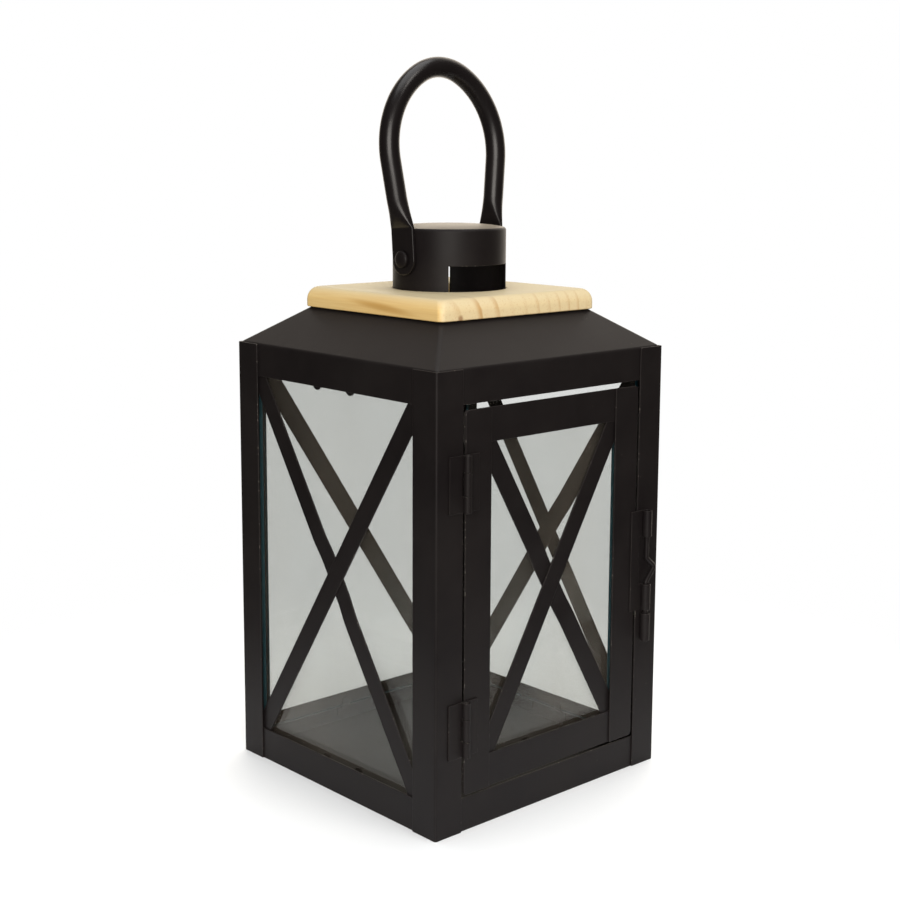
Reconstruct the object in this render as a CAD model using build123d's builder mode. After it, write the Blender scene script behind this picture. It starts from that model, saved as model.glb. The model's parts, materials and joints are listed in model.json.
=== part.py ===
"""Candle lantern: sheet-metal body with a glazed hinged door, pine board, vented chimney and bail handle.

Millimetres, +Z up. The origin is the middle of the underside, and the door wall faces -Y.
"""

import os
from math import atan2, cos, degrees, hypot, pi, radians, sin, sqrt, tan

from build123d import *

# Driving dimensions: body
side = 150.0
body_height = 215.0
sheet = 0.8
bend_radius = 1.2
post_flange = 16.0
tray_height = 16.0
skirt_height = 16.0
roof_rise = 18.0
roof_bend_radius = 2.0

# Driving dimensions: cross bars and glazing
bar_width = 10.0
bar_reach = 2.5
bar_lap = 9.0
joggle_ramp = 14.0
joggle_margin = 1.5
glass_thickness = 2.0
glass_lap_x = 3.5
glass_lap_z = 6.0
glass_clearance = 0.15
clip_width = 5.0
clip_spacing = 25.0
clip_foot = 6.0
clip_hang = 2.0

# Driving dimensions: door
door_side_gap = 1.5
door_bottom_gap = 1.5
door_top_gap = 2.5
door_strip = 16.0
door_corner_radius = 2.0

# Driving dimensions: hinges
hinge_length = 26.0
hinge_below_door_top = 32.7
hinge_above_door_bottom = 32.3
hinge_post_leaf = 9.5
hinge_door_leaf = 8.5
hinge_barrel_radius = 1.9
hinge_axis_stand = 2.2
hinge_pin_radius = 1.1
hinge_pin_end = 0.4
hinge_pin_chamfer = 0.25
leaf_clearance = 0.4
hinge_middle_knuckle = 10.4
knuckle_gap = 0.3
running_clearance = 0.05

# Driving dimensions: latch
latch_axis_over_post = 4.5
latch_axis_stand = 2.6
latch_barrel_radius = 2.4
latch_plate_on_door = 3.5
latch_plate_over_post = 1.0
latch_below_middle = 24.4
latch_knuckle = 13.2
latch_window = 24.5
keeper_gap = 2.0
keeper_knuckle = 14.0
keeper_leaf = 6.5
bolt_radius = 1.25
bolt_clearance = 0.08
bolt_entry = 7.5
bolt_top_in_knuckle = 7.0
bolt_seat_gap = 0.4
kink_reach = 6.0
kink_lower_rise = 7.0
kink_upper_rise = 5.2
kink_bend_radius = 1.8

# Driving dimensions: pine board, chimney and screws
board_side = 102.0
board_thickness = 10.0
board_overhang = 2.0
board_corner_radius = 3.0
board_edge_radius = 2.5
board_hole_clearance = 0.4
chimney_radius = 28.0
chimney_height = 30.0
chimney_rim_radius = 1.6
chimney_flange = 9.0
chimney_hole_clearance = 0.2
vent_half_angle = 42.5
vent_height = 12.2
vent_sink = 5.0
screw_from_chimney = 5.0
screw_shank_radius = 1.5
screw_hole_clearance = 0.25
screw_head_radius = 3.2
screw_head_height = 1.8
screw_bite = 7.0

# Driving dimensions: bail handle and its rivets
pivot_above_board = 15.0
bail_lean = 4.5
tube_radius = 5.0
tube_wall = 1.0
bail_bulge = 5.7
bail_widest = 53.0
bail_side_radius = 41.0
bail_top_radius = 28.0
bail_leg_flare = 8.2
strap_gap = 0.3
strap_crease = 15.0
strap_taper = 14.0
strap_edge_radius = 0.95
rivet_radius = 2.5
rivet_head_radius = 4.2
rivet_head_height = 2.2
rivet_tail_radius = 3.6
rivet_tail_height = 1.2

# Layers of a wall, as depths inward from its outer face
carrier_depth = sheet
bar_depth = carrier_depth + sheet
crossing_depth = bar_depth + sheet
glass_depth = crossing_depth + sheet + glass_clearance

# Heights and half widths that follow
half_side = side / 2
opening_half = half_side - post_flange
skirt_edge = body_height - skirt_height
roof_top = body_height + roof_rise
board_top = roof_top + board_thickness
chimney_top = board_top + chimney_height
roof_top_side = board_side - 2 * board_overhang
screw_circle_radius = chimney_radius + screw_from_chimney
vent_half_width = chimney_radius * sin(radians(vent_half_angle))
pivot_z = board_top + pivot_above_board
door_half = opening_half - door_side_gap
door_bottom = tray_height + door_bottom_gap
door_top = skirt_edge - door_top_gap
door_middle_z = (door_bottom + door_top) / 2
hinge_upper_z = door_top - hinge_below_door_top
hinge_lower_z = door_bottom + hinge_above_door_bottom
hinge_axis_x = -(opening_half - door_side_gap / 2)
hinge_axis_y = -half_side - hinge_axis_stand
latch_axis_x = opening_half + latch_axis_over_post
latch_axis_y = -half_side - latch_axis_stand
latch_plate_left = door_half - latch_plate_on_door
latch_plate_right = opening_half + latch_plate_over_post
latch_bottom_z = door_middle_z - latch_below_middle
latch_upper_z = latch_bottom_z + latch_knuckle + latch_window
latch_top_z = latch_upper_z + latch_knuckle
keeper_top_z = latch_bottom_z - keeper_gap

# The bail's ends are its own tube pressed flat: half its girth wide, two walls thick
strap_width = pi * tube_radius
strap_thickness = 2 * tube_wall
strap_x = chimney_radius + strap_gap + strap_thickness / 2
bail_half_width = strap_x + bail_bulge

# One drawing plane for each wall: x to the right as seen from outside, y up, z outward
front_wall = Plane((0, -half_side, 0), x_dir=(1, 0, 0), z_dir=(0, -1, 0))
right_wall = Plane((half_side, 0, 0), x_dir=(0, 1, 0), z_dir=(1, 0, 0))
back_wall = Plane((0, half_side, 0), x_dir=(-1, 0, 0), z_dir=(0, 1, 0))
left_wall = Plane((-half_side, 0, 0), x_dir=(0, -1, 0), z_dir=(-1, 0, 0))

os.makedirs("parts", exist_ok=True)


def keep(piece, name):
    """Label one finished piece and write it to a file of its own."""
    piece.part.label = name
    export_step(piece.part, f"parts/{name}.step")


# Base tray: a folded pan that stands inside the posts
with BuildPart() as base_tray:
    with BuildSketch():
        Rectangle(side - 2 * sheet, side - 2 * sheet)
    extrude(amount=tray_height)
    fillet(base_tray.edges().filter_by(Axis.Z), bend_radius)
    fillet(base_tray.faces().sort_by(Axis.Z)[0].edges(), bend_radius)
    offset(amount=-sheet, openings=base_tray.faces().sort_by(Axis.Z)[-1])
keep(base_tray, "base_tray")

# Corner posts: four equal angles, one turned into each corner
post_names = ("front_left_post", "front_right_post", "back_right_post", "back_left_post")
for quarter, post_name in enumerate(post_names):
    corner_plane = Plane.XY.rotated((0, 0, 90 * quarter))
    with BuildPart() as post:
        with BuildSketch(corner_plane):
            with Locations((-half_side, -half_side)):
                Rectangle(post_flange, sheet, align=(Align.MIN, Align.MIN))
                Rectangle(sheet, post_flange, align=(Align.MIN, Align.MIN))
        extrude(amount=body_height)
        bend_middle = corner_plane.from_local_coords((-half_side, -half_side, body_height / 2))
        fillet(post.edges().filter_by(Axis.Z).sort_by_distance(bend_middle)[0], bend_radius)
    keep(post, post_name)

# Roof: skirt, four slopes and a flat top panel folded from one sheet
screw_places = PolarLocations(screw_circle_radius, 4, start_angle=45)
with BuildPart() as roof:
    with BuildSketch(Plane.XY.offset(skirt_edge)):
        Rectangle(side - 2 * sheet, side - 2 * sheet)
    extrude(amount=skirt_height)
    with BuildSketch(Plane.XY.offset(body_height)):
        Rectangle(side - 2 * sheet, side - 2 * sheet)
    with BuildSketch(Plane.XY.offset(roof_top)):
        Rectangle(roof_top_side, roof_top_side)
    loft()
    skirt_rim = roof.faces().sort_by(Axis.Z)[0].edges()
    fillet(roof.edges() - skirt_rim, roof_bend_radius)
    offset(amount=-sheet, openings=roof.faces().sort_by(Axis.Z)[0])
    with BuildSketch(Plane.XY.offset(roof_top)):
        Circle(chimney_radius + chimney_hole_clearance)
        with screw_places:
            Circle(screw_shank_radius + screw_hole_clearance)
    extrude(amount=-2 * sheet, mode=Mode.SUBTRACT)
keep(roof, "roof")


def flat_bar(wall, half, low, high):
    """A straight strip, corner to corner across an opening, lapped behind the frame around it."""
    run = 2 * (half + bar_reach)
    rise = high - low + 2 * bar_reach
    with BuildPart() as bar:
        with BuildSketch(wall.offset(-bar_depth)):
            with Locations((0, (low + high) / 2)):
                Rectangle(2 * hypot(run, rise), bar_width, rotation=degrees(atan2(rise, run)))
                Rectangle(2 * (half + bar_lap), high - low + 2 * bar_lap, mode=Mode.INTERSECT)
        extrude(amount=-sheet)
    return bar


def joggled_bar(wall, half, low, high):
    """The other strip: set back by one sheet where it passes behind the straight one."""
    run = 2 * (half + bar_reach)
    rise = high - low + 2 * bar_reach
    along = (wall.x_dir * run - wall.y_dir * rise).normalized()
    middle = wall.from_local_coords((0, (low + high) / 2, 0))
    crossing_angle = 2 * atan2(run, rise)
    crossing = bar_width / 2 / tan(crossing_angle / 2) + joggle_margin
    ramp_end = crossing + joggle_ramp
    reach = hypot(run, rise)
    side_view = Plane(middle, x_dir=along, z_dir=along.cross(-wall.z_dir))
    front_line = [
        (-reach, bar_depth),
        (-ramp_end, bar_depth),
        (-crossing, crossing_depth),
        (crossing, crossing_depth),
        (ramp_end, bar_depth),
        (reach, bar_depth),
    ]
    back_line = [(x, depth + sheet) for x, depth in reversed(front_line)]
    with BuildPart() as bar:
        with BuildSketch(side_view):
            with BuildLine():
                Polyline(*front_line, *back_line, close=True)
            make_face()
        extrude(amount=bar_width / 2, both=True)
        with BuildSketch(wall):
            with Locations((0, (low + high) / 2)):
                Rectangle(2 * (half + bar_lap), high - low + 2 * bar_lap)
        extrude(amount=-glass_depth, mode=Mode.INTERSECT)
    return bar


def glass_pane(wall, half, low, high):
    """A plain pane that stands on its lower clips, behind the bars."""
    height = high - low + 2 * glass_lap_z - glass_clearance
    with BuildPart() as pane:
        with BuildSketch(wall.offset(-glass_depth)):
            with Locations((0, low - glass_lap_z)):
                Rectangle(2 * (half + glass_lap_x), height, align=(Align.CENTER, Align.MIN))
        extrude(amount=-glass_thickness)
    return pane


def glass_clips(wall, low, high):
    """Four folded tabs: two carry the pane's lower edge and two hook over its upper edge."""
    lip_depth = glass_depth + glass_thickness + glass_clearance
    lip_length = glass_lap_z + clip_hang - clip_width / 2
    with BuildPart() as clips:
        for level, up, away in (
            (low - glass_lap_z, Align.MIN, Align.MAX),
            (high + glass_lap_z, Align.MAX, Align.MIN),
        ):
            round_end = lip_length if up == Align.MIN else -lip_length
            with BuildSketch(wall.offset(-bar_depth)):
                with Locations((-clip_spacing / 2, level), (clip_spacing / 2, level)):
                    Rectangle(clip_width, clip_foot, align=(Align.CENTER, away))
            extrude(amount=-sheet)
            with BuildSketch(wall.offset(-bar_depth)):
                with Locations((-clip_spacing / 2, level), (clip_spacing / 2, level)):
                    Rectangle(clip_width, sheet, align=(Align.CENTER, away))
            extrude(amount=bar_depth - lip_depth - sheet)
            with BuildSketch(wall.offset(-lip_depth)):
                with Locations((-clip_spacing / 2, level), (clip_spacing / 2, level)):
                    Rectangle(clip_width, lip_length, align=(Align.CENTER, up))
                with Locations((-clip_spacing / 2, level + round_end), (clip_spacing / 2, level + round_end)):
                    Circle(clip_width / 2)
            extrude(amount=-sheet)
    return clips


# Glazed side and back walls: crossing strips, pane and clips
for wall_name, wall in (("left", left_wall), ("right", right_wall), ("back", back_wall)):
    keep(flat_bar(wall, opening_half, tray_height, skirt_edge), f"{wall_name}_front_bar")
    keep(joggled_bar(wall, opening_half, tray_height, skirt_edge), f"{wall_name}_rear_bar")
    keep(glass_pane(wall, opening_half, tray_height, skirt_edge), f"{wall_name}_glass")
    keep(glass_clips(wall, tray_height, skirt_edge), f"{wall_name}_glass_clips")

# Door: two stiles in front, two rails lapped behind them, crossing strips, pane and clips
door_opening_half = door_half - door_strip
door_opening_low = door_bottom + door_strip
door_opening_high = door_top - door_strip
for stile_name, outer_x, inward in (
    ("door_left_stile", -door_half, Align.MIN),
    ("door_right_stile", door_half, Align.MAX),
):
    with BuildPart() as stile:
        with BuildSketch(front_wall):
            with Locations((outer_x, door_middle_z)):
                Rectangle(door_strip, door_top - door_bottom, align=(inward, Align.CENTER))
        extrude(amount=-sheet)
        outer_edges = stile.edges().filter_by(Axis.Y).group_by(Axis.X)[0 if outer_x < 0 else -1]
        fillet(outer_edges, door_corner_radius)
    keep(stile, stile_name)
for rail_name, rail_z in (
    ("door_bottom_rail", door_bottom + door_strip / 2),
    ("door_top_rail", door_top - door_strip / 2),
):
    with BuildPart() as rail:
        with BuildSketch(front_wall.offset(-carrier_depth)):
            with Locations((0, rail_z)):
                RectangleRounded(2 * door_half, door_strip, door_corner_radius)
        extrude(amount=-sheet)
    keep(rail, rail_name)
keep(flat_bar(front_wall, door_opening_half, door_opening_low, door_opening_high), "door_front_bar")
keep(joggled_bar(front_wall, door_opening_half, door_opening_low, door_opening_high), "door_rear_bar")
keep(glass_pane(front_wall, door_opening_half, door_opening_low, door_opening_high), "door_glass")
keep(glass_clips(front_wall, door_opening_low, door_opening_high), "door_glass_clips")

# Butt hinges: outer knuckles on the post leaf, middle knuckle on the door leaf, one pin through all
leaf_notch = hinge_barrel_radius + leaf_clearance
middle_half = hinge_middle_knuckle / 2
outer_start = middle_half + knuckle_gap
hinge_half = hinge_length / 2
outer_knuckle = hinge_half - outer_start
for hinge_name, hinge_z in (("upper_hinge", hinge_upper_z), ("lower_hinge", hinge_lower_z)):
    barrel_plane = Plane((hinge_axis_x, hinge_axis_y, hinge_z))
    with BuildPart() as post_leaf:
        with BuildSketch(front_wall):
            with Locations((hinge_axis_x, hinge_z)):
                Rectangle(hinge_post_leaf, hinge_length, align=(Align.MAX, Align.CENTER))
        extrude(amount=sheet)
        for knuckle_z in (-hinge_half, outer_start):
            with BuildSketch(barrel_plane.offset(knuckle_z)):
                Circle(hinge_barrel_radius)
                Rectangle(hinge_barrel_radius, hinge_axis_stand, align=(Align.MAX, Align.MIN))
            extrude(amount=outer_knuckle)
        with BuildSketch(barrel_plane.offset(-outer_start)):
            Rectangle(2 * leaf_notch, 2 * hinge_axis_stand)
        extrude(amount=2 * outer_start, mode=Mode.SUBTRACT)
        with BuildSketch(barrel_plane.offset(-hinge_half)):
            Circle(hinge_pin_radius)
        extrude(amount=hinge_length, mode=Mode.SUBTRACT)
    keep(post_leaf, f"{hinge_name}_post_leaf")
    with BuildPart() as door_leaf:
        with BuildSketch(front_wall):
            with Locations((hinge_axis_x, hinge_z)):
                Rectangle(hinge_door_leaf, hinge_length, align=(Align.MIN, Align.CENTER))
        extrude(amount=sheet)
        for notch_z in (-hinge_half, middle_half):
            with BuildSketch(barrel_plane.offset(notch_z)):
                Rectangle(2 * leaf_notch, 2 * hinge_axis_stand)
            extrude(amount=hinge_half - middle_half, mode=Mode.SUBTRACT)
        with BuildSketch(barrel_plane.offset(-middle_half)):
            Circle(hinge_barrel_radius)
            Rectangle(hinge_barrel_radius, hinge_axis_stand, align=(Align.MIN, Align.MIN))
        extrude(amount=hinge_middle_knuckle)
        with BuildSketch(barrel_plane.offset(-middle_half)):
            Circle(hinge_pin_radius + running_clearance)
        extrude(amount=hinge_middle_knuckle, mode=Mode.SUBTRACT)
    keep(door_leaf, f"{hinge_name}_door_leaf")
    with BuildPart() as hinge_pin:
        with BuildSketch(barrel_plane.offset(-hinge_half - hinge_pin_end)):
            Circle(hinge_pin_radius)
        extrude(amount=hinge_length + 2 * hinge_pin_end)
        chamfer(hinge_pin.edges(), hinge_pin_chamfer)
    keep(hinge_pin, f"{hinge_name}_pin")

# Latch plate: welded to the door, laid over the post as a stop, with two knuckles for the bolt
latch_barrel = Plane((latch_axis_x, latch_axis_y, 0))
with BuildPart() as latch_plate:
    with BuildSketch(front_wall):
        with Locations((latch_plate_left, latch_bottom_z)):
            Rectangle(latch_plate_right - latch_plate_left, latch_top_z - latch_bottom_z, align=Align.MIN)
    extrude(amount=sheet)
    for knuckle_z in (latch_bottom_z, latch_upper_z):
        with BuildSketch(front_wall):
            with Locations((latch_plate_left, knuckle_z)):
                Rectangle(latch_axis_x - latch_plate_left, latch_knuckle, align=Align.MIN)
        extrude(amount=sheet)
        with BuildSketch(latch_barrel.offset(knuckle_z)):
            Circle(latch_barrel_radius)
            Rectangle(latch_barrel_radius, latch_axis_stand, align=(Align.MAX, Align.MIN))
        extrude(amount=latch_knuckle)
    with BuildSketch(latch_barrel.offset(latch_bottom_z)):
        Circle(bolt_radius + bolt_clearance)
    extrude(amount=latch_top_z - latch_bottom_z, mode=Mode.SUBTRACT)
keep(latch_plate, "latch_plate")

# Latch keeper: the knuckle on the post that the bolt drops into
with BuildPart() as latch_keeper:
    with BuildSketch(front_wall):
        with Locations((latch_axis_x, keeper_top_z)):
            Rectangle(keeper_leaf, keeper_knuckle, align=(Align.MIN, Align.MAX))
    extrude(amount=sheet)
    with BuildSketch(latch_barrel.offset(keeper_top_z)):
        Circle(latch_barrel_radius)
        Rectangle(latch_barrel_radius, latch_axis_stand, align=(Align.MIN, Align.MIN))
    extrude(amount=-keeper_knuckle)
    with BuildSketch(latch_barrel.offset(keeper_top_z)):
        Circle(bolt_radius + bolt_clearance)
    extrude(amount=-keeper_knuckle, mode=Mode.SUBTRACT)
keep(latch_keeper, "latch_keeper")

# Latch bolt: round wire with a sideways kink for the finger
bolt_low = keeper_top_z - bolt_entry
bolt_high = latch_upper_z + bolt_top_in_knuckle
kink_low = latch_bottom_z + latch_knuckle + bolt_seat_gap + kink_bend_radius * tan(
    atan2(kink_reach, kink_lower_rise) / 2
)
kink_tip = kink_low + kink_lower_rise
kink_high = kink_tip + kink_upper_rise
with BuildPart() as latch_bolt:
    with BuildLine():
        FilletPolyline(
            (latch_axis_x, latch_axis_y, bolt_low),
            (latch_axis_x, latch_axis_y, kink_low),
            (latch_axis_x + kink_reach, latch_axis_y, kink_tip),
            (latch_axis_x, latch_axis_y, kink_high),
            (latch_axis_x, latch_axis_y, bolt_high),
            radius=kink_bend_radius,
        )
    with BuildSketch(latch_barrel.offset(bolt_low)):
        Circle(bolt_radius)
    sweep()
keep(latch_bolt, "latch_bolt")

# Pine board: eased edges, a round hole for the chimney and pilot holes for the screws
with BuildPart() as wood_top:
    with BuildSketch(Plane.XY.offset(roof_top)):
        RectangleRounded(board_side, board_side, board_corner_radius)
        Circle(chimney_radius + board_hole_clearance, mode=Mode.SUBTRACT)
    extrude(amount=board_thickness)
    upper_rim = wood_top.faces().sort_by(Axis.Z)[-1].outer_wire().edges()
    fillet(upper_rim, board_edge_radius)
    with BuildSketch(Plane.XY.offset(roof_top)):
        with screw_places:
            Circle(screw_shank_radius)
    extrude(amount=screw_bite, mode=Mode.SUBTRACT)
keep(wood_top, "wood_top")

# Chimney: a drawn cap pushed up through roof and board, with a flange below and two vent windows
flange_top = roof_top - sheet
with BuildPart() as chimney:
    with BuildSketch(Plane.XZ):
        with BuildLine():
            Polyline(
                (0, chimney_top),
                (chimney_radius, chimney_top),
                (chimney_radius, flange_top),
                (chimney_radius + chimney_flange, flange_top),
                (chimney_radius + chimney_flange, flange_top - sheet),
                (chimney_radius - sheet, flange_top - sheet),
                (chimney_radius - sheet, chimney_top - sheet),
                (0, chimney_top - sheet),
                close=True,
            )
        make_face()
    revolve(axis=Axis.Z)
    fillet(chimney.edges().group_by(Axis.Z)[-1], chimney_rim_radius)
    with BuildSketch(Plane.XZ):
        with Locations((0, board_top - vent_sink)):
            Rectangle(2 * vent_half_width, vent_height + vent_sink, align=(Align.CENTER, Align.MIN))
    extrude(amount=2 * chimney_radius, both=True, mode=Mode.SUBTRACT)
    with BuildSketch(Plane.XY.offset(flange_top)):
        with screw_places:
            Circle(screw_shank_radius + screw_hole_clearance)
    extrude(amount=-2 * sheet, mode=Mode.SUBTRACT)
    with BuildSketch(Plane.YZ):
        with Locations((0, pivot_z)):
            Circle(rivet_radius)
    extrude(amount=2 * chimney_radius, both=True, mode=Mode.SUBTRACT)
keep(chimney, "chimney")

# Wood screws: from below, through flange and roof panel into the board
screw_seat = flange_top - sheet
with BuildPart() as top_screws:
    with BuildSketch(Plane.XY.offset(screw_seat)):
        with screw_places:
            Circle(screw_head_radius)
    extrude(amount=-screw_head_height)
    fillet(top_screws.edges().group_by(Axis.Z)[0], screw_head_height / 2)
    with BuildSketch(Plane.XY.offset(screw_seat)):
        with screw_places:
            Circle(screw_shank_radius)
    extrude(amount=roof_top + screw_bite - screw_seat)
keep(top_screws, "top_screws")

# Bail handle: a tube bent to a horseshoe, each end pressed flat and hung on a rivet
lean = radians(bail_lean)
bail_plane = Plane((0, 0, pivot_z), x_dir=(1, 0, 0), z_dir=(0, -cos(lean), sin(lean)))
flare = radians(bail_leg_flare)
side_centre_x = bail_half_width - bail_side_radius
top_centre_h = bail_widest + sqrt((bail_side_radius - bail_top_radius) ** 2 - side_centre_x**2)
join_angle = degrees(atan2(top_centre_h - bail_widest, -side_centre_x))
leg_top_x = side_centre_x + bail_side_radius * cos(flare)
leg_top_h = bail_widest - bail_side_radius * sin(flare)
tube_start_h = strap_crease + strap_taper
tube_start_x = leg_top_x - (leg_top_h - tube_start_h) * tan(flare)


def across_leg(x, height, tilt):
    """A plane across the bail's right leg: its x runs across the strap's width, its z up the leg."""
    up_leg = bail_plane.x_dir * sin(tilt) + bail_plane.y_dir * cos(tilt)
    return Plane(bail_plane.from_local_coords((x, height, 0)), x_dir=bail_plane.z_dir, z_dir=up_leg)


with BuildPart() as handle:
    with BuildSketch(Plane(bail_plane.from_local_coords((strap_x, 0, 0)), z_dir=(1, 0, 0))):
        Circle(strap_width / 2)
    extrude(amount=strap_thickness / 2, both=True)
    fillet(handle.edges(), strap_edge_radius)
    with BuildSketch(across_leg(strap_x, 0, 0)):
        SlotOverall(strap_width, strap_thickness)
    extrude(amount=strap_crease)
    flat_half = (strap_width - strap_thickness) / 2
    thick_half = strap_thickness / 2
    diagonal = tube_radius * sqrt(0.5)
    with BuildSketch(across_leg(strap_x, strap_crease, 0)):
        with BuildLine():
            Line((-flat_half, -thick_half), (flat_half, -thick_half))
            ThreePointArc((flat_half, -thick_half), (strap_width / 2, 0), (flat_half, thick_half))
            Line((flat_half, thick_half), (-flat_half, thick_half))
            ThreePointArc((-flat_half, thick_half), (-strap_width / 2, 0), (-flat_half, -thick_half))
        make_face()
    with BuildSketch(across_leg(tube_start_x, tube_start_h, flare)):
        with BuildLine():
            ThreePointArc((-diagonal, -diagonal), (0, -tube_radius), (diagonal, -diagonal))
            ThreePointArc((diagonal, -diagonal), (tube_radius, 0), (diagonal, diagonal))
            ThreePointArc((diagonal, diagonal), (0, tube_radius), (-diagonal, diagonal))
            ThreePointArc((-diagonal, diagonal), (-tube_radius, 0), (-diagonal, -diagonal))
        make_face()
    loft()
    with BuildLine(bail_plane):
        Line((tube_start_x, tube_start_h), (leg_top_x, leg_top_h))
        side_turn = join_angle + bail_leg_flare
        CenterArc((side_centre_x, bail_widest), bail_side_radius, -bail_leg_flare, side_turn)
        CenterArc((0, top_centre_h), bail_top_radius, join_angle, 90 - join_angle)
    with BuildSketch(across_leg(tube_start_x, tube_start_h, flare)):
        Circle(tube_radius)
        Circle(tube_radius - tube_wall, mode=Mode.SUBTRACT)
    sweep()
    with BuildSketch(Plane(bail_plane.from_local_coords((strap_x, 0, 0)), z_dir=(1, 0, 0))):
        Circle(rivet_radius + running_clearance)
    extrude(amount=strap_thickness, both=True, mode=Mode.SUBTRACT)
    mirror(about=Plane.YZ)
keep(handle, "handle")

# Handle rivets: clinched inside the chimney wall, with a domed head outside the strap
tail_seat = sqrt((chimney_radius - sheet) ** 2 - rivet_tail_radius**2)
head_seat = chimney_radius + 2 * strap_gap + strap_thickness
dome_radius = (rivet_head_radius**2 + rivet_head_height**2) / (2 * rivet_head_height)
with BuildPart() as handle_rivets:
    with BuildSketch(Plane((0, 0, pivot_z), x_dir=(1, 0, 0), z_dir=(0, -1, 0))):
        with BuildLine():
            Polyline(
                (head_seat + rivet_head_height, 0),
                (tail_seat - rivet_tail_height, 0),
                (tail_seat - rivet_tail_height, rivet_tail_radius),
                (tail_seat, rivet_tail_radius),
                (tail_seat, rivet_radius),
                (head_seat, rivet_radius),
                (head_seat, rivet_head_radius),
            )
            RadiusArc((head_seat, rivet_head_radius), (head_seat + rivet_head_height, 0), dome_radius)
        make_face()
    revolve(axis=Axis((0, 0, pivot_z), (1, 0, 0)))
    mirror(about=Plane.YZ)
keep(handle_rivets, "handle_rivets")
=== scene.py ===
# %% [markdown]
# # A candle lantern, dressed piece by piece
# The lantern is a folded steel body with four glazed walls, one of them a hinged door. On its hipped roof
# lie a pine board, a vented chimney and a swinging bail. The imported CAD model gives every size and place,
# so it is loaded first. Nothing added here may grow past it.

# %% Load the frame
import json
import math

import bmesh
import bpy
from mathutils import Matrix, Vector

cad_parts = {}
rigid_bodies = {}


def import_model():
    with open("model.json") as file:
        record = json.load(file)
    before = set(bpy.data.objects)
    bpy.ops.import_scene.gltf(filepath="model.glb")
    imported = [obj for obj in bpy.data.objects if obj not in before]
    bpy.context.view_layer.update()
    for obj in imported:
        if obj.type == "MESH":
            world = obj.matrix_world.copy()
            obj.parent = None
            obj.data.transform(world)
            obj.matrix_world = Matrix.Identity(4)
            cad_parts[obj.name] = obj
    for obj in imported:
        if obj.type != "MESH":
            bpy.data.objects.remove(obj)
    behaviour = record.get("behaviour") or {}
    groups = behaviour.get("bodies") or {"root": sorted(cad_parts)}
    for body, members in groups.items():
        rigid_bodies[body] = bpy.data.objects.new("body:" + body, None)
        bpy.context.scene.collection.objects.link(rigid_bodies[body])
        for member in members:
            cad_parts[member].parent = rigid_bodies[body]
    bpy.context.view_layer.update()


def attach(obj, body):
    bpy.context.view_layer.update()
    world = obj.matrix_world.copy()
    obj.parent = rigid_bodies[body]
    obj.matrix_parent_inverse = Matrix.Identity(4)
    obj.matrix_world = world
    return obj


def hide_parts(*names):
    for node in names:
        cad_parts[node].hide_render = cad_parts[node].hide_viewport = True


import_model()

# %% [markdown]
# Every piece is drawn in millimetres, as a sheet-metal shop would, and turned to metres when it is done.
# These are the sizes that several pieces share. The walls are built in layers, counted as depths inward
# from the outer face: post, tray or skirt, crossed bars, glass.

# %% Shared sizes
MM = 0.001
SIDE_HALF = 75.0
BODY_HEIGHT = 215.0
SHEET = 0.8
POST_FLANGE = 16.0
TRAY_TOP = 16.0
SKIRT_EDGE = 199.0
OPENING_HALF = SIDE_HALF - POST_FLANGE
ROOF_TOP = 233.0
BOARD_TOP = 243.0
BAR_DEPTH = 1.6
GLASS_DEPTH = 3.35
GLASS_THICKNESS = 2.0
EDGE_EASE = 0.22
QUARTER = math.radians(90)
print("body:", 2 * SIDE_HALF, "mm square,", BODY_HEIGHT, "mm high to the fold of the roof")

# %% [markdown]
# Materials are node trees, and so are the repeats further down. One small function adds a node, gives it
# its settings and fills its inputs, either with a value or with a link from another node. Four more are
# made of it, for the nodes that come back most: calculations, changes of range, noises and mixed colours.
# Colours are written as the sRGB hex values that an eye or a paint chart would give, and Blender calculates
# in linear light, so one function turns them over.


# %% Helpers for node trees
def linear(colour):
    """The linear colour of an sRGB hex value, with full alpha."""
    channels = [int(colour[start : start + 2], 16) / 255 for start in (1, 3, 5)]
    return [c / 12.92 if c <= 0.04045 else ((c + 0.055) / 1.055) ** 2.4 for c in channels] + [1.0]


def fill(tree, node, inputs):
    """Give a node's inputs, by name or number, a value or a link."""
    for name, value in inputs.items():
        if isinstance(value, bpy.types.NodeSocket):
            tree.links.new(value, node.inputs[name])
        else:
            node.inputs[name].default_value = value


def add_node(tree, kind, inputs=None, **settings):
    """Add one node with its settings, and fill its inputs."""
    added = tree.nodes.new(kind)
    for name, value in settings.items():
        setattr(added, name, value)
    fill(tree, added, inputs or {})
    return added


def calculate(tree, operation, *values):
    """The result of one Math node."""
    return add_node(tree, "ShaderNodeMath", dict(enumerate(values)), operation=operation).outputs[0]


def remap(tree, value, start, end, course="LINEAR"):
    """A value taken from one range to another, and held at the ends."""
    inputs = dict(enumerate((value, *start, *end)))
    return add_node(tree, "ShaderNodeMapRange", inputs, interpolation_type=course).outputs[0]


def noise(tree, place, size, detail, roughness=0.5, distortion=0.0):
    """A noise pattern with patches about as wide as size, in millimetres."""
    inputs = {"Vector": place, "Scale": 1 / (size * MM), "Detail": detail}
    inputs.update(Roughness=roughness, Distortion=distortion)
    return add_node(tree, "ShaderNodeTexNoise", inputs).outputs["Fac"]


def mix_colours(tree, share, first, second):
    """Two colours mixed, by the share of the second."""
    return add_node(tree, "ShaderNodeMix", {0: share, 6: first, 7: second}, data_type="RGBA").outputs[2]


def new_finish(name):
    """An empty material, its tree and its Object coordinates."""
    finish = bpy.data.materials.new(name)
    finish.use_nodes = True
    place = add_node(finish.node_tree, "ShaderNodeTexCoord").outputs["Object"]
    return finish, finish.node_tree, finish.node_tree.nodes["Principled BSDF"], place


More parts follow.
